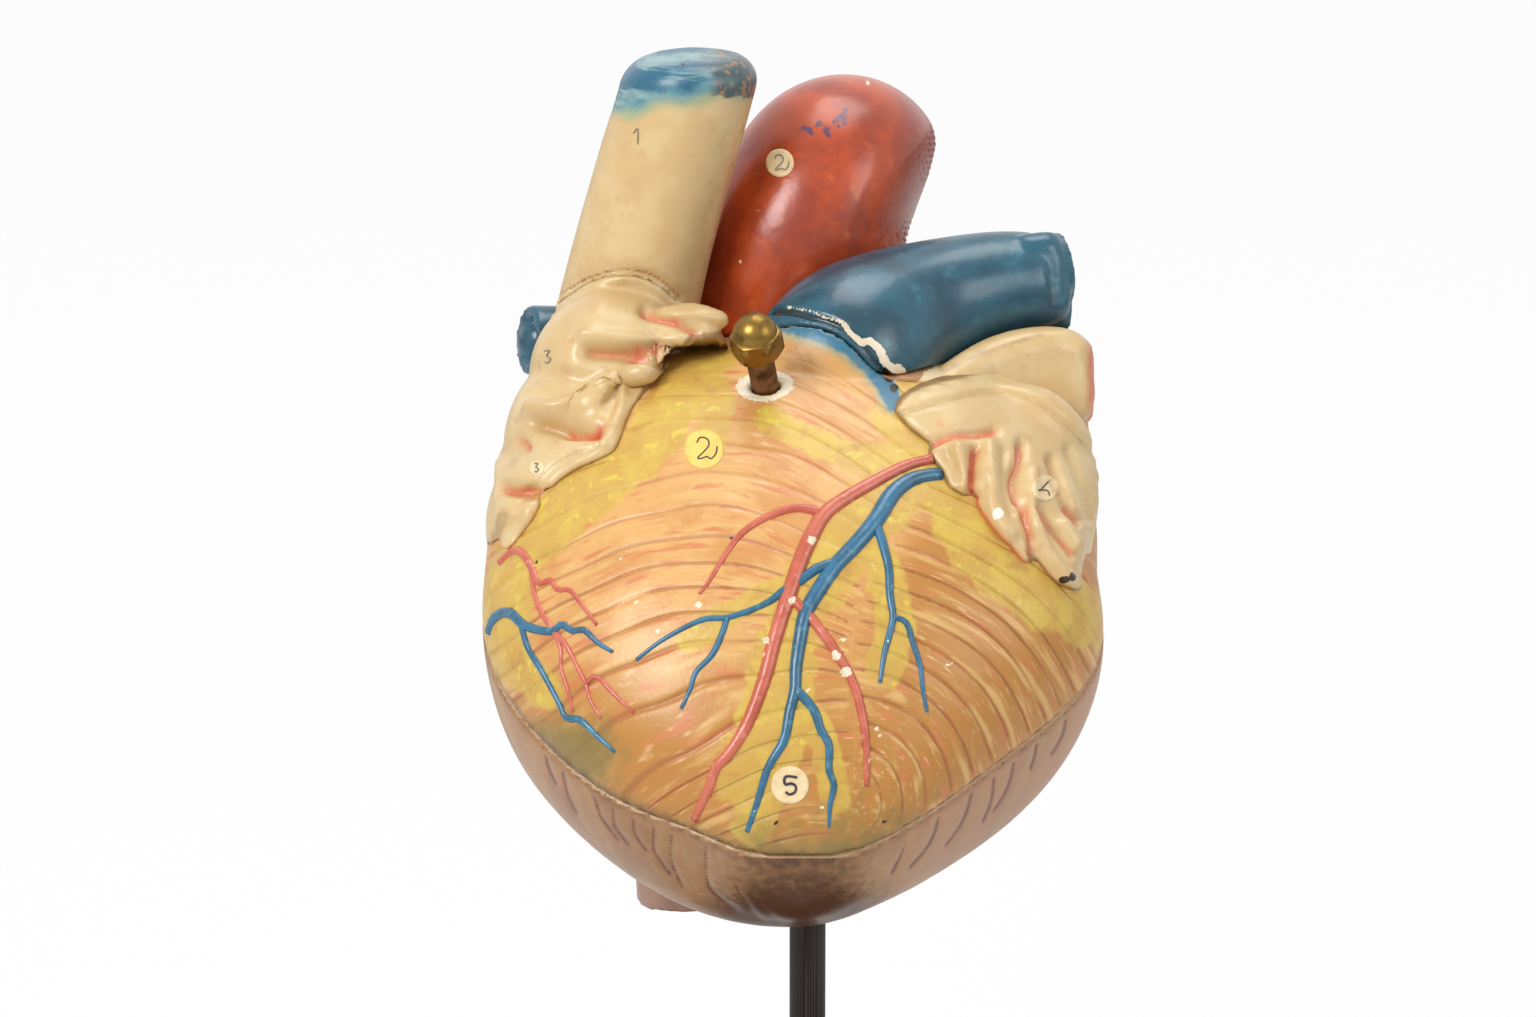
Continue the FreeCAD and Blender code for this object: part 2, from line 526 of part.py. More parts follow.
def heart():
    """The nodes of the heart, lying frame."""
    form = heart_form()
    hollows = chambers()
    rear_zone, zone = front_zone(), front_zone(SEAM_GAP)
    outer, bores = great_vessels()
    lumens = list(bores.values())
    root = lie_down(tube(AORTA_PATH[:4], AORTA_RADII[:4], -ARTERY_WALL, 1))
    inlets = [root] + [bore for name, bore in bores.items() if name != "aorta"]
    stud, anchor, nut = stud_parts()
    socket_hole, socket = rod_socket(form)
    pins, dowel_holes = dowels()
    anchor_hole = on_stud(Part.makeCylinder(ANCHOR_DIAMETER / 2, 6 - ANCHOR_END), along_stud(ANCHOR_END))
    stud_hole = on_stud(Part.makeCylinder(STUD_DIAMETER / 2 + STUD_HOLE_CLEARANCE, ZONE_REACH),
                        along_stud(STUD_FOOT))

    hollow_rear = [rear_zone, anchor_hole, hollows[0]] + inlets + hollows[1:] + [socket_hole] + pins
    hollow_front = inlets + hollows + [stud_hole] + dowel_holes
    nodes = {"rear_body": only(carve(form, hollow_rear)),
             "front_wall": only(carve(form.common(zone), hollow_front)),
             "front_stud": stud, "stud_anchor": anchor, "acorn_nut": nut, "rod_socket": socket,
             "locating_dowels": Part.makeCompound(pins)}

    done = []
    for name, shape in outer.items():
        nodes[name] = pieces(carve(shape, [form, rear_zone] + lumens + done), 20.0)
        done.append(shape)

    vein_bore, trunk_bore = bores["superior_vena_cava"], bores["pulmonary_trunk"]
    vein_root = outer["superior_vena_cava"].common(zone)
    lobes = [ellipsoid(*lobe) for lobe in RIGHT_AURICLE_LOBES]
    right_auricle = lobes[0].fuse(lobes[1:]).common(zone).fuse(vein_root)
    cone = carve(outer["pulmonary_trunk"].common(zone), [form, trunk_bore, stud_hole])
    lobes = [ellipsoid(*lobe) for lobe in LEFT_AURICLE_LOBES]
    left_auricle = lobes[0].fuse(lobes[1:]).common(zone).cut(form)
    nodes["pulmonary_cone"] = only(cone)
    nodes["right_auricle"] = only(carve(right_auricle, [form, vein_bore, trunk_bore, cone]))
    nodes["left_auricle"] = only(left_auricle.cut(cone))
    auricles = [nodes["right_auricle"], nodes["left_auricle"], nodes["pulmonary_cone"]]

    arteries = relief(form, LEFT_CORONARY)
    nodes["left_coronary_artery"] = pieces(carve(arteries, auricles))
    nodes["great_cardiac_vein"] = pieces(carve(relief(form, GREAT_VEIN), [arteries] + auricles))
    branches = relief(form, RIGHT_CORONARY)
    nodes["right_coronary_branches"] = pieces(carve(branches, auricles))
    nodes["small_cardiac_vein"] = pieces(carve(relief(form, SMALL_VEIN), [branches] + auricles))
    behind = [outer["inferior_vena_cava"], outer["left_pulmonary_veins"], socket_hole]
    sinus = carve(relief(form, CORONARY_SINUS, -1), behind)
    nodes["coronary_sinus"] = only(sinus)
    nodes["posterior_artery"] = only(carve(relief(form, POSTERIOR_ARTERY, -1), behind + [sinus]))

    hollow = hollows[0].fuse(hollows[1:])
    free_space = hollow.fuse(inlets)
    for name, figures in (("tricuspid_valve", TRICUSPID), ("mitral_valve", MITRAL),
                          ("aortic_valve", AORTIC), ("pulmonary_valve", PULMONARY)):
        nodes[name] = only(valve(*figures).common(free_space).cut(rear_zone))
    muscles = papillary_muscles(hollow)
    nodes["papillary_muscles"] = muscles
    fixed = [muscles, nodes["tricuspid_valve"], nodes["mitral_valve"]]
    cords = [carve(cord, fixed).common(hollow) for cord in tendinous_cords()]
    nodes["tendinous_cords"] = Part.makeCompound([only(cord) for cord in cords])
    return nodes


def build():
    """All the nodes, upright frame, by name."""
    return {name: stand_up(shape) for name, shape in heart().items()} | stand()


if __name__ == "__main__":
    os.makedirs("parts", exist_ok=True)
    for name, shape in build().items():
        print(name, shape.ShapeType, shape.isValid(), len(shape.Solids), round(shape.Volume), shape.BoundBox)
        shape.exportStep("parts/%s.step" % name)
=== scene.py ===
# %% [markdown]
# # A painted heart model for the classroom
# The real object is a hollow plaster cast in two halves. The front half lifts off a stud, and
# the whole heart turns on a rod. This lesson dresses the plain solids of the part: it copies
# them, gives them one smooth skin, carves folds and fibres into it and paints it in oils.

# %% Start
import json
from math import cos, pi, radians, sin

import bmesh
import bpy
import numpy as np
from mathutils import Matrix, Vector
from mathutils.bvhtree import BVHTree


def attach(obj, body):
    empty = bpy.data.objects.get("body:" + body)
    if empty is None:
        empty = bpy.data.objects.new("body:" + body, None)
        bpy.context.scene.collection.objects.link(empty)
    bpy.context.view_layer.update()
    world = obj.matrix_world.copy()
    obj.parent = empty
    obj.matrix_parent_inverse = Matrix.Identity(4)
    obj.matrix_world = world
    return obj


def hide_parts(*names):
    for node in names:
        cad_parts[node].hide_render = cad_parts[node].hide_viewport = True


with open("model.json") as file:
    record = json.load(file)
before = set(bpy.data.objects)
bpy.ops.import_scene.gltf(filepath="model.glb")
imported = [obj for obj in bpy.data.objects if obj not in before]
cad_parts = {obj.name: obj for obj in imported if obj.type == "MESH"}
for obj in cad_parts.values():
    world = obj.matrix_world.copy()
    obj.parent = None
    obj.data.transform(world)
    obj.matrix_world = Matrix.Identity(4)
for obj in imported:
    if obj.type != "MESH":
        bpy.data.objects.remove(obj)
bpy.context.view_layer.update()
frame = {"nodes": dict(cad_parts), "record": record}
nodes = frame["nodes"]
MM = 0.001
print("solids:", len(nodes))

# %% [markdown]
# ## Two ways to say where a point is
# The caster lays the heart on its back: p runs to the right, q up to the great vessels and n out
# through the front, all in millimetres. The painter stands in front of the finished model and
# draws on what is seen from there. The drawing's own units run right (x) and down (y), and
# there are about 4.6 of them in a millimetre. Every line and patch of paint is laid out on it.

# %% Frames
TILT = radians(30)
HEART_MIDDLE = np.array([0.0, 0.0, 178.0])
LYING = np.array([[1, 0, 0], [0, cos(TILT), sin(TILT)], [0, -sin(TILT), cos(TILT)]])
EYE = np.array([-8.78, -1133.1, 502.5])
EYE_DROP = radians(15)
LOOK = np.array([0, cos(EYE_DROP), -sin(EYE_DROP)])
UPWARD = np.array([0, sin(EYE_DROP), cos(EYE_DROP)])
DRAWING_SCALE = 5400.0
DRAWING_CENTRE = (768.0, 508.5)
MM_UNITS = 4.58


def lying(points):
    """(p, q, n) in millimetres of points in metres."""
    return (points / MM - HEART_MIDDLE) @ LYING.T


def drawing(points):
    """Where the painter sees points given in metres, and how far away they are."""
    away = points / MM - EYE
    depth = away @ LOOK
    x = DRAWING_CENTRE[0] + DRAWING_SCALE * away[:, 0] / depth
    y = DRAWING_CENTRE[1] - DRAWING_SCALE * (away @ UPWARD) / depth
    return np.stack([x, y], axis=1), depth


def sight(x, y):
    """Direction from the painter's eye through a place on the drawing."""
    ray = LOOK + np.array([1.0, 0, 0]) * (x - DRAWING_CENTRE[0]) / DRAWING_SCALE
    return Vector(ray - UPWARD * (y - DRAWING_CENTRE[1]) / DRAWING_SCALE).normalized()


def seen(tree, x, y):
    """The point and normal of a surface at a place on the drawing, in metres."""
    point, normal, _, _ = tree.ray_cast(Vector(EYE * MM), sight(x, y))
    return point, normal


# %% [markdown]
# ## Curves and distances on the drawing
# Folds, vessels and patches are drawn as a few points. A Catmull-Rom curve runs smoothly
# through them, and the distance to it decides how deep a fold is or how far a colour reaches.

# %% Curves
def flowing(points, steps=6):
    """A smooth curve through points, with steps pieces between each two."""
    knots = np.array([points[0]] + list(points) + [points[-1]], float)
    curve = []
    for a, b, c, d in zip(knots, knots[1:], knots[2:], knots[3:]):
        for t in np.arange(steps) / steps:
            curve.append(0.5 * (2 * b + (c - a) * t + (2 * a - 5 * b + 4 * c - d) * t * t
                                + (3 * b - a - 3 * c + d) * t ** 3))
    curve.append(knots[-1])
    return np.array(curve)


def reach(places, line):
    """Distance of places on the drawing to a broken line."""
    nearest = np.full(len(places), np.inf)
    for a, b in zip(line, line[1:]):
        along = b - a
        part = np.clip(((places - a) @ along) / max(along @ along, 1e-9), 0, 1)
        nearest = np.minimum(nearest, np.hypot(*(places - a - part[:, None] * along).T))
    return nearest


def inside(places, outline):
    """Which places lie inside a closed outline."""
    within = np.zeros(len(places), bool)
    for a, b in zip(outline, np.roll(outline, -1, axis=0)):
        crosses = (a[1] > places[:, 1]) != (b[1] > places[:, 1])
        slope = (b[0] - a[0]) / (b[1] - a[1] + 1e-12)
        within ^= crosses & (places[:, 0] < a[0] + slope * (places[:, 1] - a[1]))
    return within


def soft_step(low, high, values):
    """0 below low, 1 above high, and smooth between."""
    t = np.clip((values - low) / (high - low), 0, 1)
    return t * t * (3 - 2 * t)


# %% [markdown]
# ## One skin from several solids
# A plaster cast has no sharp joints between its parts. Copies of the solids are put into one
# mesh, merged, and given a new skin of even small faces by a voxel remesh; a few rounds of
# smoothing take off its steps. The even faces are what a sculptor needs: any of them can move.

# %% Skins
def new_object(name, mesh):
    made = bpy.data.objects.new(name, mesh)
    bpy.context.scene.collection.objects.link(made)
    return made


def mesh_from(bm, name):
    """The mesh of a bmesh, which is freed."""
    mesh = bpy.data.meshes.new(name)
    bm.to_mesh(mesh)
    bm.free()
    return mesh


def skin(name, sources, voxel_mm, rounds, pellets=()):
    """A new skin over copies of CAD nodes and over pellets of clay (centre, radius in metres)."""
    bm = bmesh.new()
    for node in sources:
        bm.from_mesh(nodes[node].data)
    bmesh.ops.remove_doubles(bm, verts=bm.verts, dist=1e-6)
    for centre, radius in pellets:
        bmesh.ops.create_icosphere(bm, subdivisions=2, radius=radius, matrix=Matrix.Translation(centre))
    made = new_object(name, mesh_from(bm, name))
    remesh = made.modifiers.new("skin", "REMESH")
    remesh.mode = "VOXEL"
    remesh.voxel_size = voxel_mm * MM
    smooth = made.modifiers.new("smooth", "SMOOTH")
    smooth.factor = 0.5
    smooth.iterations = rounds
    graph = bpy.context.evaluated_depsgraph_get()
    made.data = bpy.data.meshes.new_from_object(made.evaluated_get(graph))
    made.modifiers.clear()
    made.data.shade_smooth()
    print(name, "faces:", len(made.data.polygons))
    return made


def corners(made):
    """Places of an object's vertices, as an array in metres."""
    places = np.empty(len(made.data.vertices) * 3)
    made.data.vertices.foreach_get("co", places)
    return places.reshape(-1, 3)


def drawn_places(made):
    """Where the painter sees an object's vertices."""
    return drawing(corners(made))[0]


def outward(made):
    """Normals at an object's vertices."""
    normals = np.empty(len(made.data.vertices) * 3, np.float32)
    made.data.vertex_normals.foreach_get("vector", normals)
    return normals.reshape(-1, 3).astype(float)


def move_to(made, places):
    made.data.vertices.foreach_set("co", places.ravel())
    made.data.update()


def surface(*objects):
    """A tree of surfaces, for finding what lies where."""
    bm = bmesh.new()
    for made in objects:
        bm.from_mesh(made.data)
    tree = BVHTree.FromBMesh(bm)
    bm.free()
    return tree


def in_sight(made):
    """1 where a vertex faces the painter with nothing of its own object before it, else 0."""
    places, normals = corners(made), outward(made)
    to_eye = EYE * MM - places
    to_eye /= np.linalg.norm(to_eye, axis=1, keepdims=True)
    facing = (normals * to_eye).sum(1)
    tree = surface(made)
    clear = np.zeros(len(places))
    for i in np.flatnonzero(facing > 0.02):
        start = Vector(places[i] + normals[i] * 0.4 * MM)
        if tree.ray_cast(start, Vector(to_eye[i]))[0] is None:
            clear[i] = min(1.0, facing[i] * 4)
    return clear


NO_LINE = 99.0


def store(made, **numbers):
    """Keep numbers per vertex, each under its name, for the paint to read."""
    for name, values in numbers.items():
        layer = made.data.attributes.new(name, "FLOAT", "POINT")
        values = np.broadcast_to(values, len(made.data.vertices))
        layer.data.foreach_set("value", np.ascontiguousarray(values, np.float32))


def paint_with(made, paint):
    """Give a piece its paint. A number that the paint reads and the piece lacks is 0, and the
    distance to a line that the piece lacks is far."""
    for node in paint.node_tree.nodes:
        name = getattr(node, "attribute_name", "")
        if name and name not in made.data.attributes:
            store(made, **{name: NO_LINE if name in ("groove", "seam") else 0.0})
    made.data.materials.clear()
    made.data.materials.append(paint)


def stand_for(made, body, slot, *replaced):
    """The piece moves with a body and stands for solids; its slot is not used."""
    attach(made, body)
    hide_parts(*replaced)


# %% [markdown]
# ## Paint
# The model is plaster painted in oils. Colours are written as they look on a screen, and one
# function turns them to the linear values that Blender mixes. One small function adds a node
# with its settings and its links, and each paint is built up in layers, as a painter does it:
# a ground, streaks, patches, then dirt and chips on top.

# %% Colour and nodes
def colour(code):
    """Linear RGBA from a screen colour such as "#E3CB98"; a socket stays as it is."""
    if isinstance(code, bpy.types.NodeSocket):
        return code
    parts = [int(code[i:i + 2], 16) / 255 for i in (1, 3, 5)]
    return [c / 12.92 if c <= 0.04045 else ((c + 0.055) / 1.055) ** 2.4 for c in parts] + [1.0]


def set_inputs(tree, node, inputs):
    """Set or link a node's inputs."""
    for key, value in dict(inputs).items():
        if isinstance(value, bpy.types.NodeSocket):
            tree.links.new(value, node.inputs[key])
        else:
            node.inputs[key].default_value = value


def add(tree, kind, inputs=(), **settings):
    """Add a shader node with its settings and its inputs."""
    node = tree.nodes.new("ShaderNode" + kind)
    for key, value in settings.items():
        setattr(node, key, value)
    set_inputs(tree, node, inputs)
    return node


def stored(tree, name):
    """A number that is kept on the vertices."""
    return add(tree, "Attribute", attribute_name=name).outputs["Fac"]


def worked_out(tree, operation, *values):
    """The result of an operation on numbers and sockets."""
    return add(tree, "Math", enumerate(values), operation=operation).outputs[0]


def ramp(tree, value, low, high, top=1.0):
    """A mask that rises smoothly from 0 where a value is low to its top where it is high."""
    return add(tree, "MapRange", {0: value, 1: low, 2: high, 4: top},
               interpolation_type="SMOOTHSTEP").outputs[0]


def stretched(tree, vector, scale):
    """A vector scaled along its axes."""
    return add(tree, "Mapping", {"Vector": vector, "Scale": scale}).outputs[0]


def noise(tree, vector, scale, detail, roughness=0.5):
    """Noise over a vector."""
    return add(tree, "TexNoise", {"Vector": vector, "Scale": scale, "Detail": detail,
                                  "Roughness": roughness}).outputs["Fac"]


def per_mm(size):
    """Scale of a pattern whose features are size millimetres across."""
    return 1000.0 / size


def new_paint(name, roughness, coat=0.0):
    """An empty paint with its node tree and its shader."""
    material = bpy.data.materials.new(name)
    material.use_nodes = True
    tree = material.node_tree
    shader = tree.nodes["Principled BSDF"]
    set_inputs(tree, shader, {"Roughness": roughness, "IOR": 1.5, "Coat Weight": coat,
                              "Coat Roughness": 0.2})
    add(tree, "TexCoord")
    return material, tree, shader


def own_place(tree):
    """The object's own coordinates."""
    return tree.nodes["Texture Coordinate"].outputs["Object"]


def ragged(tree, name, size, amount, low, high):
    """Mask from a stored number with edges broken by noise of a size in millimetres."""
    shift = worked_out(tree, "SUBTRACT", noise(tree, own_place(tree), per_mm(size), 4.0), 0.5)
    return ramp(tree, worked_out(tree, "MULTIPLY_ADD", shift, amount, stored(tree, name)), low, high)


def line_mask(tree, name, half_width, wander=0.5):
    """Mask of a thin line from a stored distance, its edge a little uneven."""
    uneven = noise(tree, own_place(tree), per_mm(3.0), 3.0)
    near = worked_out(tree, "MULTIPLY_ADD", uneven, wander * 2, stored(tree, name))
    return ramp(tree, near, half_width + wander * 1.6, wander)


def cloud(tree, size, low, high, stretch=(1, 1, 1)):
    """Mask from noise of a size in millimetres, drawn out along an axis if asked."""
    grain = noise(tree, stretched(tree, own_place(tree), stretch), per_mm(size), 5.0, 0.6)
    return ramp(tree, grain, low, high)


def layered(tree, ground, layers):
    """Colours over a ground. Each layer begins with where it lies and ends in its colour.

    Where it lies is a mask, a stored number with ragged edges (name, size, amount, low, high)
    or a cloud (size, low, high and perhaps a stretch)."""
    for *where, shade in layers:
        mask = where[0]
        if isinstance(mask, str):
            mask = ragged(tree, *where)
        elif len(where) > 1:
            mask = cloud(tree, *where)
        mix = {0: mask, 6: colour(ground), 7: colour(shade)}
        ground = add(tree, "Mix", mix, data_type="RGBA").outputs[2]
    return ground


def brushed(tree, shader, size, depth_mm, lines=None):
    """Fine unevenness of brushed oil paint, with lines sunk into it if asked."""
    bump = add(tree, "Bump", {"Height": noise(tree, own_place(tree), per_mm(size), 3.0), "Strength": 0.6,
                              "Distance": depth_mm * MM})
    if lines is not None:
        bump = add(tree, "Bump", {"Height": lines, "Strength": 1.0, "Distance": 0.25 * MM,
                                  "Normal": bump.outputs[0]}, invert=True)
    set_inputs(tree, shader, {"Normal": bump.outputs[0]})


def painted(name, roughness, ground, layers=(), coat=0.0, brush=None, metallic=0.0):
    """A paint of layers over a ground, uneven where it has a brush (size, depth in millimetres)."""
    material, tree, shader = new_paint(name, roughness, coat)
    set_inputs(tree, shader, {"Base Color": colour(layered(tree, ground, layers)), "Metallic": metallic})
    if brush:
        brushed(tree, shader, *brush)
    return material


# %% [markdown]
# ## Muscle paint
# The heart muscle is orange and ochre oil paint with a satin gloss. Its fibres are incised
# lines, darker and redder than the ground, and the paint is streaked along them. Yellow fat
# lies in the grooves that the vessels follow. Stored numbers say where all this is: "phase"
# counts the fibre lines, "along" runs with them and "fibred" says how clear they are. "groove"
# and "seam" are distances to a line. The others are patches: "fat", a patch of grime and
# painted shade along the joint and low down, a patch of old varnish and painted shade that
# darkens towards the bottom, "rim" (blue from the artery's foot), "chip" and "pit" (lost
# paint), "side" (the ground's second colour, on the front also painted shade on the lower
# part), "cream", "hollow" (a chamber's lining) and "joint" (bare plaster where the halves meet).

# %% Muscle
def muscle_paint(name, grounds, side_ground, line_code, line_width, streaks):
    """Paint with fibre lines, and streaks (scale, low, high, colour) along them."""
    material, tree, shader = new_paint(name, 0.36)
    phase, along = stored(tree, "phase"), stored(tree, "along")
    grain = add(tree, "CombineXYZ", {"X": along, "Y": phase}).outputs[0]
    crisp = ramp(tree, worked_out(tree, "PINGPONG", phase, 0.5), line_width, 0.0)
    broken = noise(tree, stretched(tree, grain, (0.5, 1.0, 1)), 0.8, 1.0)
    strength = add(tree, "MapRange", {0: broken, 1: 0.25, 2: 0.47, 3: 0.3}).outputs[0]
    line = worked_out(tree, "MULTIPLY", crisp, strength)
    line = worked_out(tree, "MULTIPLY", line, stored(tree, "fibred"))
    stroked = stretched(tree, grain, (0.35, 1.9, 1))
    layers = [(14, 0.4, 0.62, grounds[1]), ("side", 12, 0.8, 0.0, 1.0, side_ground)]
    for scale, low, high, code in streaks:
        layers.append((ramp(tree, noise(tree, stroked, scale, 4.0), low, high, 0.8), code))
    fat = ragged(tree, "fat", 4.5, 0.75, 0.26, 0.44)
    fat_tone = layered(tree, "#C9A24A", [
        (6, 0.42, 0.62, "#D2B44E"), (4, 0.60, 0.66, "#D9C24E"), (9, 0.55, 0.7, "#BC8F46")])
    layers += [
        (worked_out(tree, "MULTIPLY", line, 0.58), line_code),
        (worked_out(tree, "MULTIPLY", fat, 0.88), fat_tone), (line_mask(tree, "groove", 2.6), line_code),
        ("rim", 2.5, 0.35, 0.20, 0.48, "#A9A27C"), ("rim", 2.5, 0.30, 0.40, 0.60, "#37718C"),
        ("hollow", 2.0, 0.2, 0.45, 0.55, "#D9A283"), ("joint", 2.0, 0.4, 0.45, 0.65, "#B79873"),
        # Old varnish and painted shade darken the lower part; grime and painted shade lie along the joint.
        ("haze", 4.0, 0.9, 0.35, 1.1, "#8A7238"), ("grime", 2.2, 0.7, 0.30, 1.1, "#523018"),
        (line_mask(tree, "seam", 0.75, 0.25), "#33201A"), ("cream", 2.0, 0.2, 0.40, 0.60, "#E2CBA0"),
        ("chip", 0.9, 0.9, 0.50, 0.56, "#E9DCC0"), ("pit", 0.8, 0.5, 0.50, 0.60, "#2B1A12")]
    set_inputs(tree, shader, {"Base Color": layered(tree, grounds[0], layers)})
    brushed(tree, shader, 1.1, 0.12, line)
    return material


front_paint = muscle_paint(
    "satin oil paint on plaster, muscle", ("#D9A664", "#CC9150"), "#B87F38", "#A4582F", 0.10,
    [(1.0, 0.50, 0.68, "#DCB26E"), (1.7, 0.54, 0.68, "#CB7648"), (3.1, 0.58, 0.72, "#E2B584")])
rear_paint = muscle_paint(
    "satin oil paint on plaster, underside", ("#A87B4E", "#966A44"), "#B0815A", "#6E3826", 0.09,
    [(0.7, 0.52, 0.72, "#AB8A5E"), (1.3, 0.57, 0.75, "#9A6D55")])
print("muscle paints:", front_paint.name, "/", rear_paint.name)

# %% [markdown]
# ## The front casting
# The front half carries the muscle of both ventricles. On the right ventricle its fibres arch
# over to the left like a fan; on the left ventricle they run in rings about a point near the
# apex. The lines are carved as shallow grooves, and the places of fat, dirt, painted shade and
# lost paint are kept as numbers on the skin.

# %% Fibres and patches
RING_CENTRE = np.array([840.0, 800.0])
RING_STEP = 22.0
FAN_STEP = 28.0
GROOVE_DEPTH = 0.45
DIVIDE = flowing([(985, 400), (930, 480), (890, 545), (862, 600), (850, 660), (856, 730), (848, 800),
                  (838, 870)])
FAT_BANDS = [
    ([(722, 338), (695, 372), (668, 415), (630, 462), (590, 492), (552, 522), (520, 560), (503, 610),
      (496, 660)], 27),
    ([(905, 415), (938, 450), (905, 482), (868, 512), (835, 560), (800, 600), (782, 660), (765, 720),
      (748, 780)], 33),
    ([(938, 470), (965, 525), (1000, 568), (1040, 596), (1100, 622)], 30),
    ([(905, 405), (925, 430), (950, 470)], 24),
    ([(880, 560), (896, 620), (886, 668)], 19),
    ([(775, 592), (722, 618), (690, 640)], 14),
    ([(798, 640), (792, 720), (770, 790), (750, 830)], 20),
    ([(800, 700), (824, 740), (836, 800)], 15),
    ([(770, 420), (850, 455), (905, 455)], 15),
    ([(690, 372), (720, 400), (705, 448)], 17),
    ([(500, 620), (515, 660), (545, 690)], 20),
]
SEAM_TOP = flowing([(726, 322), (745, 313), (774, 314), (793, 317), (808, 323), (826, 327), (841, 334),
                    (852, 339), (862, 348), (869, 358), (877, 367), (884, 379), (890, 391), (895, 404)], 3)
CHIPS = [(698, 605, 4), (812, 540, 5), (792, 600, 4), (636, 603, 2), (658, 630, 2), (597, 444, 2),
         (998, 516, 5), (836, 655, 5), (846, 672, 6), (842, 640, 3), (766, 640, 4), (764, 655, 2),
         (948, 665, 2), (952, 664, 2), (875, 729, 2), (880, 735, 2), (822, 808, 2), (889, 640, 2),
         (808, 690, 2), (870, 760, 2), (620, 560, 2)]
PITS = [(889, 378, 5), (894, 388, 5), (732, 538, 2.2), (536, 562, 2.5), (955, 645, 2), (562, 600, 1.6),
        (775, 822, 2.4), (884, 821, 2.4)]


def fibre_count(places):
    """Which fibre line a place lies on, how far along it, and how far right of the divide it is."""
    x, y = places.T
    wave = 2.2 * np.sin(x / 41 + y / 57) + 1.3 * np.sin(x / 19 - y / 29)
    crown = y.copy()
    for _ in range(12):
        top = 700 + 0.0045 * np.clip(crown - 530, 0, 180) ** 2
        crown += 0.5 * (y - 0.0019 * (x - top) ** 2 - crown)
    fan = (crown + wave + 6 * np.sin(crown / 31)) / FAN_STEP
    away = places - RING_CENTRE
    ring = (np.hypot(*away.T) + wave + 4 * np.sin(np.hypot(*away.T) / 37)) / RING_STEP
    turn = np.arctan2(away[:, 1], away[:, 0])
    divide = np.interp(y, DIVIDE[:, 1], DIVIDE[:, 0])
    left = x < divide
    return np.where(left, fan, ring + 100), np.where(left, x / 30, turn * 7), x - divide


def spots(drawn, marks):
    """How near places on the drawing are to the nearest of some round marks (x, y, size)."""
    near = np.zeros(len(drawn))
    for x, y, size in marks:
        near = np.maximum(near, 1.5 - np.hypot(drawn[:, 0] - x, drawn[:, 1] - y) / size)
    return np.clip(near, 0, 1)


def hollow_mask(made, across_mm):
    """1 where a vertex looks at its own object's other wall, no further off than a distance."""
    tree = surface(made)
    places, normals = corners(made), outward(made)
    mask = np.zeros(len(places))
    for i, (place, normal) in enumerate(zip(places, normals)):
        start = Vector(place + normal * 0.3 * MM)
        mask[i] = tree.ray_cast(start, Vector(normal), across_mm * MM)[0] is not None
    return mask


STUD_PLACE = np.array([-9.4, 1.747, 225.774])
STUD_AXIS = np.array([-0.1357, -0.4954, 0.8580])
PLASTER_RADIUS = 4.3
PLASTER_WIDTH = 2.6
front = skin("front_casting", ["front_wall", "pulmonary_cone"], 0.95, 4)
clear = in_sight(front)
places, normals = corners(front), outward(front)
drawn = drawn_places(front)
x, y = drawn.T
p, q, n = lying(places).T
facing = normals @ LYING[2]
phase, along, beyond = fibre_count(drawn)
grooves = np.clip(1 - np.abs((phase + 0.5) % 1 - 0.5) / 0.11, 0, 1) ** 1.5
uneven = 0.78 + 0.22 * np.sin(x / 37 + phase * 2.1) * np.sin(phase * 1.7 + 1)
fibred = clear * soft_step(2, 9, np.abs(beyond)) * soft_step(1.0, 4.0, n)
fibred *= soft_step(330, 420, y)
fibred *= soft_step(12, 60, np.hypot(*(drawn - RING_CENTRE).T))
fibred *= np.where(beyond < 0, 0.5 + 0.5 * soft_step(430, 600, y), 1)
move_to(front, places - normals * (grooves * uneven * fibred * GROOVE_DEPTH * MM)[:, None])
fat = np.zeros(len(places))
for line, width in FAT_BANDS:
    fat = np.maximum(fat, 1 - reach(drawn, flowing(line, 3)) / (width * 1.5))
off_axis = np.linalg.norm(np.cross(corners(front) / MM - STUD_PLACE, STUD_AXIS), axis=1)
plaster_ring = np.clip(1.35 - np.abs(off_axis - PLASTER_RADIUS) / PLASTER_WIDTH, 0, 1) * (n > 20)
rim = 1 - reach(drawn, SEAM_TOP) / np.interp(x, [790, 850, 895], [34, 32, 15])
outside = facing > -0.5
# Grime and painted shade: along the joint, and low down towards the left.
seam_dirt = np.exp(-np.clip(n, 0, None) / 1.6) * outside
low_dirt = 0.42 * np.exp(-np.clip(n - 2, 0, None) / 7) * soft_step(940, 600, x)
# Old varnish and painted shade: a patch low on the left, darker towards the bottom and near the joint.
haze = np.exp(-np.hypot((x - 575) / 60, (y - 750) / 45) ** 2)
haze += 0.9 * soft_step(-40, -95, q + 0.25 * np.abs(p - 10))
haze += 0.5 * np.exp(-np.clip(n, 0, None) / 6) * outside
store(front, phase=phase, along=along, fibred=fibred, fat=fat * (clear > 0),
      chip=np.maximum(spots(drawn, CHIPS), plaster_ring * 0.85) * (clear > 0),
      pit=spots(drawn, PITS) * (clear > 0), rim=np.clip(rim, 0, 1) * clear * (q > 15),
      grime=np.clip(seam_dirt + low_dirt * (y > 640), 0, 1), haze=haze,
      hollow=hollow_mask(front, 60) * (n > 1.0), joint=(n < 0.9) * (facing < -0.7),
      # Right of the divide the ground's second colour is the left ventricle's ochre; on the lower part it
      # is painted shade.
      side=np.maximum(soft_step(-30, 60, beyond), 0.9 * soft_step(580, 760, y)),
      seam=np.abs(n) + NO_LINE * ~outside)
paint_with(front, front_paint)
stand_for(front, "front", "muscle", "front_wall", "pulmonary_cone")
print("front casting grooves up to", GROOVE_DEPTH, "mm")
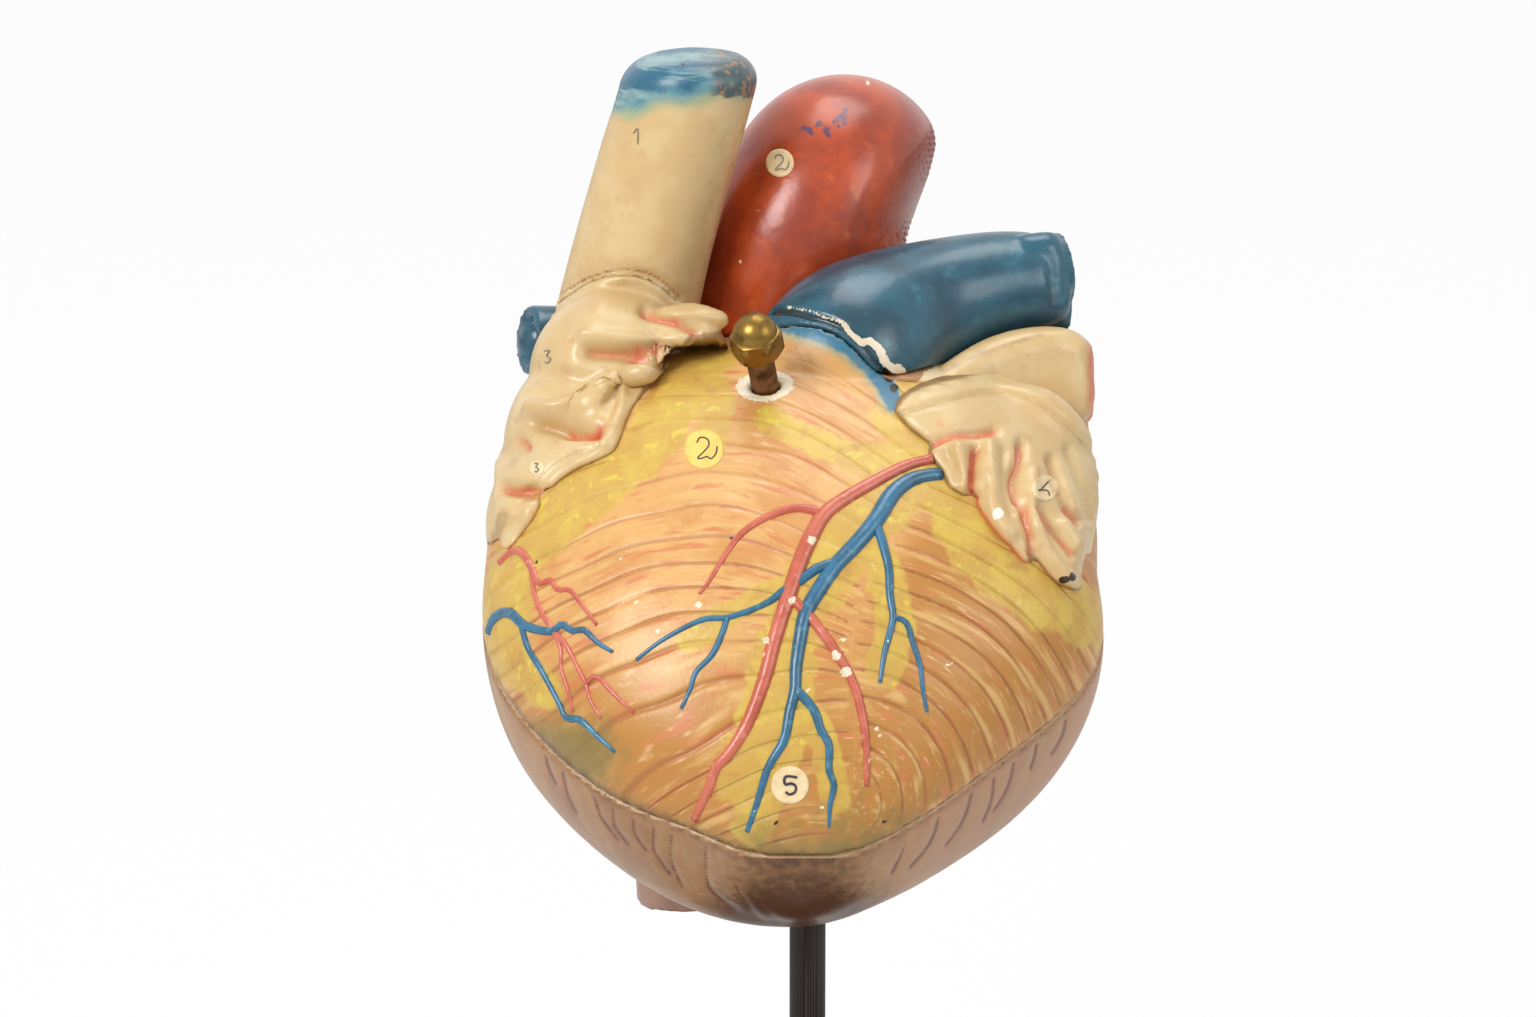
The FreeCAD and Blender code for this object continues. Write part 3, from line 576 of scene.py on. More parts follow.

# %% [markdown]
# ## The auricles
# Two flabby ears of the atria lie over the front. They are cream, with red in their folds and
# an edge darkened by dirt and painted shade where they meet the muscle. Each is a lump of clay
# first: the solid, and pellets pressed on inside a drawn outline, under one skin. Then strokes
# of a modelling tool press folds in or raise ridges. The right one's edge is also cut back to
# the outline like a pillow, and the left one is pressed in from the side.

# %% Cream paint
atrium_paint, tree, shader = new_paint("satin oil paint on plaster, cream", 0.36, 0.15)
streaks = cloud(tree, 16, 0.50, 0.62, (0.6, 0.6, 5))
pale_streaks = worked_out(tree, "MULTIPLY", ragged(tree, "blue", 6.0, 0.7, 0.4, 0.9), streaks)
cream = layered(tree, "#D0B07B", [
    (12, 0.42, 0.62, "#D7BB88"), (5, 0.55, 0.75, "#C9A575"),
    # Dirt and painted shade: at the auricles' edges and folds, on the shaded right side of the upper vein
    # and under the pulmonary trunk.
    ("dirt", 2.2, 0.5, 0.35, 1.0, "#94713F"), ("blush", 3.0, 0.7, 0.35, 1.15, "#D66C4C"),
    ("blue", 9.0, 0.5, 0.05, 0.45, "#A3AA83"), ("blue", 6.0, 0.7, 0.30, 0.80, "#5E8F98"),
    ("blue", 4.0, 0.9, 0.60, 1.05, "#1F5E78"), (pale_streaks, "#83A5A6"),
    ("worn", 4.0, 1.0, 0.40, 0.95, "#3E5257"), ("worn", 1.8, 2.0, 0.85, 1.1, "#93714F"),
    (line_mask(tree, "groove", 2.4), "#A2683F"), ("chip", 0.9, 0.5, 0.45, 0.55, "#F4EBD8"),
    ("pit", 0.8, 0.3, 0.50, 0.60, "#2B1A12")])
set_inputs(tree, shader, {"Base Color": cream})
brushed(tree, shader, 1.6, 0.10)
print(atrium_paint.name)

# %% Folds
PELLET_STEP = 5.0
PELLET_LEAST = 0.9
PELLET_MOST = 2.4
CLAY_EDGE = 2.5
PILLOW_EDGE = 14.0


def pillow(rim):
    """Height in mm over the ground at a distance inside (or, negative, outside) an outline."""
    rounded = 3.6 * np.sqrt(np.clip(1 - (1 - rim / PILLOW_EDGE) ** 2, 0, 1)) - 0.5
    flank = np.where(rim > PILLOW_EDGE, 3.1 + (rim - PILLOW_EDGE) * 0.35, rounded)
    return np.where(rim < 0, np.clip(0.5 * rim, -2.0, 0) - 0.5, flank)


def edge_of(outline):
    """The closed smooth edge of an outline."""
    return flowing(outline + outline[:1], 4)


def rim_distance(drawn, edge):
    return reach(drawn, edge) * np.where(inside(drawn, edge), 1, -1)


def grid_within(outline):
    """Evenly spaced places around an outline, each with how far inside it is."""
    edge = edge_of(outline)
    low, high = edge.min(axis=0), edge.max(axis=0)
    grid = np.array([(x, y) for x in np.arange(low[0], high[0], PELLET_STEP)
                     for y in np.arange(low[1], high[1], PELLET_STEP)])
    return zip(grid, rim_distance(grid, edge))


def clay(ground, outline, low_x, high_x, tallest):
    """Pellets on a surface inside an outline, between two places across, no taller than a height."""
    pellets = []
    for (x, y), d in grid_within(outline):
        point, normal = seen(ground, x, y)
        if not low_x < x < high_x or d <= CLAY_EDGE or point is None or normal.dot(sight(x, y)) > -0.2:
            continue
        rise = min(float(pillow(d)), tallest)
        size = min(max(rise * 0.9, PELLET_LEAST), PELLET_MOST)
        pellets.append((point + normal * ((rise - size) * MM), size * MM))
    print("pellets:", len(pellets))
    return pellets


def lump(outline, depths, tallest, behind=0):
    """Pellets that fill an outline of the drawing, at given distances from the painter in mm."""
    pellets = []
    for (x, y), d in grid_within(outline):
        size = min(d / MM_UNITS, tallest)
        if size > PELLET_LEAST:
            far = np.interp(x, *np.array(depths).T) + behind
            ray = np.array(sight(x, y))
            pellets.append((Vector((EYE + ray * far / (ray @ LOOK)) * MM), size * MM))
    return pellets


ROW = 6


def squeeze(made, limit_line, give):
    """Press a lump in from the right until its outline on the drawing meets a line (x, y).

    Only what lies less than give units inside the line moves, row by row of the drawing."""
    places = corners(made)
    drawn = drawn_places(made)
    ys, xs = limit_line[:, 1], limit_line[:, 0]
    start = np.interp(drawn[:, 1], ys, xs) - give
    over = np.clip(drawn[:, 0] - start, 0, None)
    rows = (drawn[:, 1] / ROW).astype(int)
    widest = np.full(rows.max() + 2, float(give))
    np.maximum.at(widest, rows, over)
    widest = np.convolve(np.pad(widest, 2, mode="edge"), np.ones(5) / 5, mode="valid")
    places[:, 0] -= over * (1 - give / widest[rows]) / MM_UNITS * MM
    move_to(made, places)


CUT_HEIGHT = 9
RIM_HEIGHT = 2.6
RIM_CUT = 25
INNER_CUT = 7


def sculpt(made, ground, outline, strokes, pits):
    """Cut a lump back to an outline where it stands over a ground, work it with strokes and paint it.

    A stroke is (points, depth in mm, width in drawing units, blush, darkening by dirt and painted shade); a
    negative depth raises a ridge."""
    places = corners(made)
    drawn, depth = drawing(places)
    edge = edge_of(outline)
    limits = pillow(rim_distance(drawn, edge))
    sights = (places - EYE * MM) / (depth * MM)[:, None]
    for i in np.flatnonzero(limits < CUT_HEIGHT) if ground else []:
        ray = Vector(sights[i]).normalized()
        hit, facing, _, _ = ground.ray_cast(Vector(EYE * MM), ray)
        if hit is None or facing.dot(ray) > -0.1:
            continue
        far = (np.array(hit) / MM - EYE) @ LOOK
        if 0 < far - depth[i] - limits[i] < (RIM_CUT if limits[i] < RIM_HEIGHT else INNER_CUT):
            depth[i] = far - limits[i]
            places[i] = EYE * MM + sights[i] * depth[i] * MM
    move_to(made, places)
    bm = bmesh.new()
    bm.from_mesh(made.data)
    for _ in range(3):
        bmesh.ops.smooth_vert(bm, verts=bm.verts, factor=0.5, use_axis_x=True, use_axis_y=True,
                              use_axis_z=True)
    bm.to_mesh(made.data)
    bm.free()
    clear = in_sight(made)
    places, normals = corners(made), outward(made)
    drawn = drawn_places(made)
    press = np.zeros(len(places))
    blush = np.zeros(len(places))
    # Dirt and painted shade darken the edge, and more where the strokes say.
    dirt = np.clip(1 - rim_distance(drawn, edge) / 6, 0, 1)
    for line, deep, width, red, dark in strokes:
        near = reach(drawn, flowing(line, 5))
        press += deep * np.exp(-(near / width) ** 2)
        blush = np.maximum(blush, red * np.exp(-(near / (width * 1.1)) ** 2))
        dirt = np.maximum(dirt, dark * np.exp(-(near / (width * 0.8)) ** 2))
    move_to(made, places - normals * (press * clear * MM)[:, None])
    shown = clear > 0
    store(made, blush=blush * shown, dirt=dirt * shown, chip=spots(drawn, CHIPS) * shown,
          pit=spots(drawn, pits) * shown)
    paint_with(made, atrium_paint)


RIGHT_RIM = [(555, 303), (576, 285), (598, 276), (620, 272), (643, 275), (662, 284), (678, 298),
             (694, 308), (708, 306), (720, 311), (726, 320), (724, 330), (715, 334), (700, 335),
             (691, 346), (675, 356), (662, 366), (649, 388), (636, 404), (627, 420), (622, 436),
             (614, 452), (598, 461), (582, 468), (566, 477), (555, 488), (547, 496), (539, 503),
             (536, 516), (528, 528), (518, 541), (505, 554), (489, 560)]
RIGHT_EDGE = [(430, 300), (548, 270), (590, 240), (640, 236), (690, 252), (722, 286)] + RIGHT_RIM[10:] + [
    (465, 565), (435, 480)]
RIGHT_STROKES = [
    ([(590, 352), (630, 353), (668, 353)], 3.6, 8, 0.8, 0.15),
    ([(640, 350), (668, 356)], 0.4, 7, 1.0, 0),
    ([(585, 335), (620, 339), (660, 341), (688, 338)], -1.2, 7, 0, 0),
    ([(659, 367), (643, 372), (620, 378), (598, 388), (576, 404), (550, 410), (534, 410)], -2.8, 8, 0, 0),
    ([(540, 423), (570, 430), (598, 432)], 3.2, 7, 0.5, 0.1),
    ([(566, 430), (585, 432), (601, 427)], 0.8, 7, 1.0, 0),
    ([(624, 388), (620, 410), (611, 429), (604, 442)], -1.3, 6, 0, 0),
    ([(520, 441), (526, 447)], 1.4, 5, 0.9, 0.1),
    ([(504, 488), (525, 491), (547, 495)], 2.6, 6, 1.0, 0.4),
    ([(512, 516), (527, 510), (538, 504)], -1.0, 7, 0, 0),
    ([(646, 311), (662, 319), (681, 324), (694, 333)], 2.2, 6, 0.9, 0.1),
    ([(675, 319), (700, 317), (724, 320)], -1.2, 7, 0, 0),
    ([(600, 300), (590, 330), (575, 360)], -0.8, 16, 0, 0),
    ([(520, 300), (512, 360), (506, 420), (500, 480)], 0, 14, 0.40, 0),
    ([(555, 303), (598, 277), (643, 276), (678, 299)], 0.7, 3, 0.2, 0.9),
    ([(694, 334), (662, 364), (636, 404), (614, 452), (566, 477), (539, 503)], 0, 5, 0.3, 0.9),
    ([(536, 516), (518, 541), (500, 556)], 0, 5, 0.7, 0.6),
    ([(505, 515), (492, 545)], 0, 14, 0.3, 0.7),
]
NOSE = [(640, 318), (655, 308), (675, 303), (695, 302), (712, 306), (724, 313), (726, 324), (716, 332),
        (700, 334), (685, 340), (665, 348), (645, 345)]
front_skin = surface(front)
vein_foot = surface(nodes["superior_vena_cava"])
right = skin("right_auricle_skin", ["right_auricle"], 0.68, 9, (
    clay(front_skin, RIGHT_EDGE, 505, 730, 4.0)
    + clay(vein_foot, RIGHT_RIM + [(465, 565), (435, 480), (445, 320)], 552, 700, 1.5)
    + lump(NOSE, [(640, 1182), (725, 1183)], 4.2)))
sculpt(right, front_skin, RIGHT_EDGE, RIGHT_STROKES, PITS)
stand_for(right, "front", "atrium_wall", "right_auricle")

LEFT_RIM = [(894, 410), (905, 396), (925, 385), (951, 378), (985, 372), (1020, 374), (1050, 384),
            (1075, 402), (1092, 430), (1110, 450), (1112, 497), (1108, 540), (1095, 575), (1086, 585),
            (1077, 590), (1067, 587), (1055, 581), (1046, 572), (1037, 560), (1033, 556), (1027, 565),
            (1021, 560), (1011, 547), (999, 534), (988, 521), (979, 508), (973, 500), (961, 494),
            (949, 486), (944, 474), (935, 462), (930, 456), (929, 444), (912, 430)]
LEFT_STROKES = [
    ([(976, 450), (973, 468), (971, 486), (973, 497)], 2.6, 5, 1.1, 0.25),
    ([(1021, 444), (1021, 459), (1014, 477), (1017, 497), (1024, 506), (1026, 519), (1032, 538),
      (1033, 553)], 2.2, 5, 0.9, 0.3),
    ([(1039, 509), (1048, 522), (1061, 538), (1074, 553)], 1.8, 5, 0.8, 0.3),
    ([(1051, 459), (1061, 490), (1071, 510), (1079, 519)], 2.0, 5, 0.6, 0.3),
    ([(1068, 506), (1079, 519)], 0.6, 6, 1.0, 0),
    ([(1068, 450), (1080, 480), (1089, 505), (1092, 519)], 1.2, 5, 0.4, 0.2),
    ([(932, 443), (944, 437), (958, 433), (980, 433), (995, 431)], 1.6, 5, 0.9, 0.1),
    ([(940, 423), (967, 422)], 0, 8, 0.5, 0),
    ([(958, 448), (964, 471), (967, 486)], -1.5, 6, 0, 0),
    ([(945, 452), (952, 466), (958, 478)], 1.0, 4, 0.3, 0),
    ([(988, 446), (991, 480), (995, 510), (1010, 534)], -1.8, 8, 0, 0),
    ([(1032, 471), (1032, 512), (1046, 549), (1068, 578)], -1.6, 6, 0, 0),
    ([(1064, 524), (1080, 549)], -1.3, 6, 0, 0),
    ([(1003, 452), (1004, 485), (1012, 512)], 0.9, 4, 0.2, 0.1),
    ([(973, 500), (988, 521), (1011, 547), (1024, 562)], 0, 5, 0.9, 0.5),
    ([(1037, 562), (1055, 583), (1067, 588)], 0, 5, 0.7, 0.6),
    ([(900, 413), (933, 404), (967, 395), (999, 391), (1032, 400), (1061, 420),
      (1087, 446)], 0.8, 3, 0.1, 0.6),
]
LEFT_SIDE = np.array([(1064, 400), (1080, 416), (1090, 432), (1096, 450), (1099, 475), (1100, 500),
                      (1096, 527), (1091, 553), (1087, 575), (1087, 600)])
left = skin("left_auricle_skin", ["left_auricle"], 0.68, 6, clay(front_skin, LEFT_RIM, 890, 1085, 4.4))
squeeze(left, LEFT_SIDE, 16)
sculpt(left, None, LEFT_RIM, LEFT_STROKES, [(1062, 579, 4), (1069, 576, 4)])
stand_for(left, "front", "atrium_wall", "left_auricle")

# %% [markdown]
# ## The rear casting
# The other half stays on the rod. What is seen of it from the front is the underside, in
# browner paint, with a few long grooves that curve down from the joint like the seams of a
# melon. Out of the painter's sight the same grooves go on, evenly spaced.

# %% Rear casting
REAR_STEP_MM = 8.4
REAR_GROOVE_DEPTH = 0.22
REAR_GROOVES = [
    [(562, 768), (564, 782), (568, 797), (576, 814)], [(593, 791), (599, 814), (608, 828), (618, 841)],
    [(612, 802), (614, 825), (621, 836), (628, 845)], [(635, 806), (633, 829), (639, 842), (647, 852)],
    [(655, 819), (653, 848), (661, 863), (670, 875)], [(672, 829), (670, 856), (675, 872), (682, 887)],
    [(705, 846), (707, 883), (719, 898), (735, 910)], [(728, 852), (731, 872), (740, 895), (758, 918)],
    [(752, 858), (753, 879), (762, 906), (778, 921)], [(545, 752), (548, 768), (556, 785)],
    [(995, 770), (992, 800), (983, 823)], [(1037, 738), (1036, 752), (1031, 770)],
    [(973, 785), (969, 806), (960, 827), (946, 846)], [(1015, 757), (1012, 775), (1006, 792), (994, 812)],
    [(940, 806), (936, 830), (926, 850), (910, 868)], [(905, 824), (903, 850), (892, 874)],
    [(1066, 706), (1066, 722), (1062, 738), (1052, 755)],
]
rear = skin("rear_casting", ["rear_body"], 1.05, 4)
places, normals = corners(rear), outward(rear)
drawn = drawn_places(rear)
p, q, n = lying(places).T
facing = normals @ LYING[2]
rear_clear = in_sight(rear) > 0
melon = (p / np.clip(1 + 0.006 * n, 0.6, 1) + 1.2 * np.sin(q / 14)) / REAR_STEP_MM
shell = soft_step(-1.0, -5.0, n) * soft_step(60, 45, q)
shell *= np.hypot(p / 60, n / 50) > 0.35
outside = facing < 0.5
drawn_off = np.full(len(places), np.inf)
for line in REAR_GROOVES:
    drawn_off = np.minimum(drawn_off, reach(drawn, flowing(line, 4)))
unseen_off = np.abs((melon + 0.5) % 1 - 0.5) * REAR_STEP_MM / REAR_GROOVE_DEPTH
off = np.where(rear_clear, drawn_off, unseen_off) + NO_LINE * (shell < 0.3)
move_to(rear, places - normals * (np.clip(1 - off / 5.0, 0, 1) * REAR_GROOVE_DEPTH * MM)[:, None])
atrium = [(900, 412), (925, 372), (985, 335), (1060, 322), (1110, 335), (1120, 450), (1085, 445),
          (1045, 412), (1000, 394), (950, 404)]
# Painted shade under the middle of the underside, grime and painted shade along the joint, and old varnish
# and painted shade low down.
underneath = np.exp(-((drawn[:, 0] - 800) / 110) ** 2) * soft_step(830, 925, drawn[:, 1])
edge_dirt = 0.75 * np.exp(-np.abs(n) / 4)
haze = 0.55 * np.exp(-np.abs(n + 6) / 9) * soft_step(-20, -70, q)
store(rear, phase=0.5 + melon * 0.8, along=q / 14, groove=off, seam=np.abs(n) + NO_LINE * ~outside,
      cream=inside(drawn, atrium) * rear_clear, haze=haze * outside,
      grime=np.clip(edge_dirt + 1.4 * underneath, 0, 1.4) * outside,
      hollow=hollow_mask(rear, 70) * (n < -1.0), joint=(np.abs(n) < 0.9) * (facing > 0.7),
      side=soft_step(-60, 60, p))
paint_with(rear, rear_paint)
stand_for(rear, "heart", "muscle", "rear_body")
print("grooves of the underside:", len(REAR_GROOVES))

# %% [markdown]
# ## The great vessels
# They are cast with the rear half and painted in gloss oil: cream with a blue end on the upper
# hollow vein, brick red on the aorta, blue on the pulmonary artery.

# %% Vessel paints
def gloss_paint(name, ground, deep, pale, inside_code, roughness=0.27):
    """Gloss paint with ink, a dark gap, chips and pits, darker with painted shade inside a vessel and where
    dirt and painted shade are kept.
    """
    return painted(name, roughness, ground, [
        (16, 0.42, 0.66, deep), (7, 0.56, 0.76, pale), ("dirt", 3.0, 0.6, 0.4, 1.0, deep),
        ("inner", 2.0, 0.3, 0.45, 0.6, inside_code), (1.7, 0.735, 0.75, "#D9B48E"),
        ("ink", 1.6, 1.6, 0.70, 0.95, "#5A3350"), ("gap", 1.0, 0.4, 0.35, 0.75, "#17343C"),
        ("chip", 1.1, 0.8, 0.50, 0.58, "#E6DAC0"), ("pit", 0.8, 0.5, 0.50, 0.60, "#2B1A12")
    ], coat=0.12, brush=(2.2, 0.12))


aorta_paint = gloss_paint("gloss oil paint, brick red", "#BC4A1C", "#963618", "#C8622F", "#6A241B")
trunk_paint = gloss_paint("gloss oil paint, blue", "#20586C", "#143F50", "#326D7A", "#1C3E4A")
print(aorta_paint.name, "/", trunk_paint.name)


def dress(made, slot, paint, across_mm, node):
    """Paint a vessel of the heart, with painted shade in its hollow, and let it stand for its solid."""
    store(made, inner=hollow_mask(made, across_mm))
    paint_with(made, paint)
    stand_for(made, "heart", slot, node)


AORTA_SIDE = np.array([(905, 60), (927, 100), (938, 125), (935, 150), (928, 175), (918, 200), (908, 228),
                       (905, 300)])
aorta = skin("aorta_skin", ["aorta"], 0.95, 6)
squeeze(aorta, AORTA_SIDE, 60)
drawn = drawn_places(aorta)
# Painted shade darkens the aorta's right side, and dirt and painted shade its foot.
foot_line = flowing([(705, 300), (692, 250), (700, 200), (735, 130)])
foot_dirt = 0.2 * np.exp(-reach(drawn, foot_line) / 6)
smudges = [(807, 131, 8), (820, 125, 7), (829, 131, 9), (840, 121, 9), (844, 113, 6)]
store(aorta, dirt=np.clip(soft_step(850, 925, drawn[:, 0]) + foot_dirt, 0, 1), ink=spots(drawn, smudges),
      chip=spots(drawn, [(868, 83, 2.4), (803, 203, 1.6), (740, 262, 1.6)]))
dress(aorta, "artery_red", aorta_paint, 45, "aorta")

SEAM_GAP = flowing([(770, 311), (790, 311), (808, 316), (821, 319), (835, 324), (846, 330), (856, 338),
                    (866, 350), (874, 362), (883, 373), (889, 384), (895, 394), (899, 408)], 3)
TRUNK_PITS = [(889, 377, 6), (894, 388, 6), (885, 370, 3)]
TRUNK_END = [(1012, 236), (1052, 231), (1066, 250), (1071, 280), (1071, 305), (1062, 322), (1030, 330),
             (1012, 325)]
trunk = skin("pulmonary_trunk_skin", ["pulmonary_trunk"], 0.7, 6,
             lump(TRUNK_END, [(1010, 1201), (1070, 1204)], 4.0))
drawn = drawn_places(trunk)
x = drawn[:, 0]
seam_clear = in_sight(trunk) > 0
gap = np.clip(1.25 - reach(drawn, SEAM_GAP) / 4.6, 0, 1) * seam_clear
move_to(trunk, corners(trunk) - outward(trunk) * (gap * 1.2 * MM)[:, None])
FLAKED_EDGE = flowing([(786, 306), (808, 310), (821, 315), (835, 319), (844, 324), (850, 332), (862, 342),
                       (869, 341), (879, 349), (884, 360), (891, 368), (900, 370), (901, 379), (906, 391),
                       (901, 408), (895, 415)], 3)
flaked = 1.15 - reach(drawn, FLAKED_EDGE) / np.interp(x, [790, 835, 850, 900], [2.2, 2.8, 4.5, 8])
flaked *= np.interp(x, [780, 835, 850], [0.70, 0.72, 1.0]) * seam_clear
# Painted shade darkens the faces of the trunk that look down.
store(trunk, gap=gap, dirt=np.clip(-outward(trunk)[:, 2] * 1.4 + 0.2, 0, 1),
      chip=np.clip(flaked, 0, 1), pit=spots(drawn_places(trunk), TRUNK_PITS))
dress(trunk, "vein_blue", trunk_paint, 30, "pulmonary_trunk")

# %% Upper hollow vein and the other veins
upper = skin("upper_hollow_vein_skin", ["superior_vena_cava"], 0.9, 6)
drawn = drawn_places(upper)
x, y = drawn.T
blue_edge = 117 - (x - 612) * 0.14 + 4 * np.sin(x / 9)
# Painted shade on the right side of the upper vein.
right_side = soft_step(700, 760, x + (y - 120) * 0.33)
aorta_side = flowing([(703, 306), (712, 250), (724, 200), (736, 140)])
auricle_seam = flowing([(550, 301), (576, 283), (598, 274), (620, 270), (643, 273), (662, 282), (680, 297)])
seam_off = reach(drawn, auricle_seam) + NO_LINE * (in_sight(upper) == 0)
store(upper, blue=np.clip((blue_edge - y) / 34 + 0.24, 0, 1.1), dirt=right_side * 0.4,
      blush=0.7 * np.exp(-reach(drawn, aorta_side) / 8), worn=0.9 * soft_step(650, 740, x) * (y < 98),
      groove=seam_off, pit=spots(drawn, [(684, 64, 2.4)]))
fold = np.exp(-(seam_off / 5) ** 2)
places = corners(upper) - outward(upper) * (fold * 0.7 * MM)[:, None]
lid = np.interp(x, [605, 624, 640, 660, 690, 740, 757, 765], [13, 9.5, 5, 2, 0, 0, 2, 5])
places[:, 2] -= lid * soft_step(150, 60, y) / MM_UNITS * MM
move_to(upper, places)
paint_with(upper, atrium_paint)
stand_for(upper, "heart", "atrium_wall", "superior_vena_cava")

ATRIUM_EDGE = [(893, 425), (897, 402), (915, 384), (945, 362), (985, 338), (1030, 326), (1070, 328),
               (1092, 345), (1098, 372), (1096, 405), (1080, 425), (1040, 415), (985, 410), (930, 420)]
ATRIUM_DEPTHS = [(900, 1183), (945, 1185), (985, 1193), (1040, 1197), (1090, 1200)]
ATRIUM_SIDE = np.array([(1090, 300), (1093, 350), (1095, 400), (1090, 430), (1088, 460), (1088, 520)])
UNDER_TRUNK = flowing([(905, 405), (945, 372), (990, 350), (1040, 335)])
for side in ("left", "right"):
    node = side + "_pulmonary_veins"
    clump = []
    if side == "left":
        clump = lump(ATRIUM_EDGE, ATRIUM_DEPTHS, 5.5) + lump(ATRIUM_EDGE[4:11], ATRIUM_DEPTHS, 5.5, 8)
    veins = skin(side + "_lung_veins_skin", [node], 0.8, 8, clump)
    if side == "left":
        squeeze(veins, ATRIUM_SIDE, 14)
    drawn = drawn_places(veins)
    # Painted shade under the pulmonary trunk.
    store(veins, blush=0.9 * soft_step(1078, 1092, drawn[:, 0]) * (side == "left"),
          dirt=0.7 * np.exp(-reach(drawn, UNDER_TRUNK) / 8))
    paint_with(veins, atrium_paint)
    stand_for(veins, "heart", "atrium_wall", node)

ENDS = {"right_pulmonary_artery": [(Vector((-60.5, 74.6, 218.6)) * MM, 6.2 * MM),
                                   (Vector((-57.5, 74.6, 218.6)) * MM, 6.6 * MM)],
        "inferior_vena_cava": []}
brown_paint = gloss_paint("satin oil paint, brown", "#A07C68", "#866050", "#AC8872", "#5A3A30", 0.4)
for name, node, paint in (("right_lung_artery_skin", "right_pulmonary_artery", trunk_paint),
                          ("lower_hollow_vein_skin", "inferior_vena_cava", brown_paint)):
    dress(skin(name, [node], 0.9, 5, ENDS[node]), "vein_blue", paint, 25, node)
print("great vessels painted, with", len(ENDS), "rounded ends")

# %% [markdown]
# ## Coronary vessels
# Fine arteries and veins stand out on the muscle in relief. Each is a row of rings set on the
# surface along a drawn line, bridged into a tapering tube with its foot sunk in the plaster.
# A line comes with its widths from end to end, evenly spaced, in the drawing's units.

# %% Relief vessels
def relief_paint(name, ground, deep, pale):
    """Gloss paint of a coronary vessel, worn to the cream ground in places."""
    return painted(name, 0.3, ground, [
        (6, 0.4, 0.6, deep), (3, 0.55, 0.7, pale), (1.6, 0.70, 0.72, "#E2CDB0"),
        ("chip", 0.9, 0.9, 0.50, 0.56, "#E9DCC0")], coat=0.25, brush=(1.0, 0.12))


artery_paint = relief_paint("gloss oil paint, artery red", "#CB6A52", "#BC5740", "#D4806A")
vein_paint = relief_paint("gloss oil paint, vein blue", "#2B6D90", "#205873", "#4385A0")
RING_SIDES = 10
STATION = 5.0
FULLNESS = 1.32
SUNK = 0.25


def relief_tube(bm, tree, line, widths):
    """One tapering tube on a surface, along a line of the drawing; widths in its units."""
    path = flowing(line, 5)
    steps = np.r_[0, np.cumsum(np.hypot(*np.diff(path, axis=0).T))]
    count = max(4, int(steps[-1] / STATION))
    stops = np.linspace(0, steps[-1], count)
    xs, ys = np.interp(stops, steps, path[:, 0]), np.interp(stops, steps, path[:, 1])
    radii = np.interp(stops / steps[-1], np.linspace(0, 1, len(widths)), widths) / MM_UNITS / 2 * FULLNESS
    hits = [(seen(tree, x, y), r) for x, y, r in zip(xs, ys, radii)]
    hits = [(point, normal, r) for (point, normal), r in hits if point is not None]
    previous = None
    for i, (point, normal, radius) in enumerate(hits):
        ahead = hits[min(i + 1, len(hits) - 1)][0] - hits[max(i - 1, 0)][0]
        side = ahead.cross(normal).normalized()
        rise = side.cross(ahead).normalized()
        turn = Matrix((side, rise, ahead.normalized())).transposed().to_4x4()
        centre = Matrix.Translation(point - normal * radius * SUNK * MM)
        ring = bmesh.ops.create_circle(bm, segments=RING_SIDES, radius=radius * MM,
                                       matrix=centre @ turn)["verts"]
        edges = list({edge for vert in ring for edge in vert.link_edges})
        if i in (0, len(hits) - 1):
            bmesh.ops.contextual_create(bm, geom=edges)
        if previous:
            bmesh.ops.bridge_loops(bm, edges=previous + edges)
        previous = edges


def relief_piece(name, slot, paint, lines, node):
    """All the tubes of one vessel on the front as one piece."""
    whole = bmesh.new()
    for line, widths in lines:
        bm = bmesh.new()
        relief_tube(bm, front_tree, line, widths)
        bmesh.ops.recalc_face_normals(bm, faces=bm.faces)
        part = mesh_from(bm, "part")
        whole.from_mesh(part)
        bpy.data.meshes.remove(part)
    made = new_object(name, mesh_from(whole, name))
    made.data.shade_smooth()
    store(made, chip=spots(drawn_places(made), CHIPS))
    paint_with(made, paint)
    stand_for(made, "front", slot, node)
    print(name, "tubes:", len(lines))


ARTERY_LINES = [
    ([(932, 459), (905, 466), (870, 484), (838, 503), (823, 516), (812, 535), (800, 562), (790, 592),
      (776, 635), (764, 680), (748, 722), (730, 752), (716, 768), (708, 790), (694, 820)],
     [9, 12, 13, 12, 11, 9, 6]),
    ([(823, 513), (796, 508), (765, 518), (740, 535), (722, 560), (708, 583), (699, 594)], [9, 7, 5, 3]),
    ([(790, 597), (806, 612), (822, 632), (838, 655), (852, 680), (860, 705), (866, 740), (867, 786)],
     [9, 8, 7, 4]),
]
VEIN_LINES = [
    ([(940, 474), (915, 478), (893, 493), (876, 520), (855, 545), (835, 566), (820, 588), (806, 612),
      (800, 640), (796, 668), (795, 690), (789, 715), (784, 740), (768, 768), (758, 800), (747, 832)],
     [12, 14, 13, 12, 10, 8, 6, 4]),
    ([(838, 562), (818, 568), (805, 577), (785, 590), (765, 604), (730, 617), (705, 619), (680, 630),
      (658, 643), (636, 660)], [9, 8, 5, 5, 4, 3]),
    ([(727, 618), (722, 634), (712, 655), (696, 672), (690, 690), (681, 709)], [5, 5, 4, 3]),
    ([(876, 523), (884, 548), (889, 570), (890, 595), (893, 616), (890, 632), (884, 655), (880, 683)],
     [8, 7, 6, 5, 3]),
    ([(892, 617), (906, 622), (912, 640), (920, 665), (923, 690), (927, 712)], [5, 5, 4, 3]),
    ([(796, 690), (806, 700), (815, 712), (821, 730), (829, 745), (829, 770), (834, 785), (830, 806),
      (829, 828)], [8, 7, 6, 5, 2]),
]
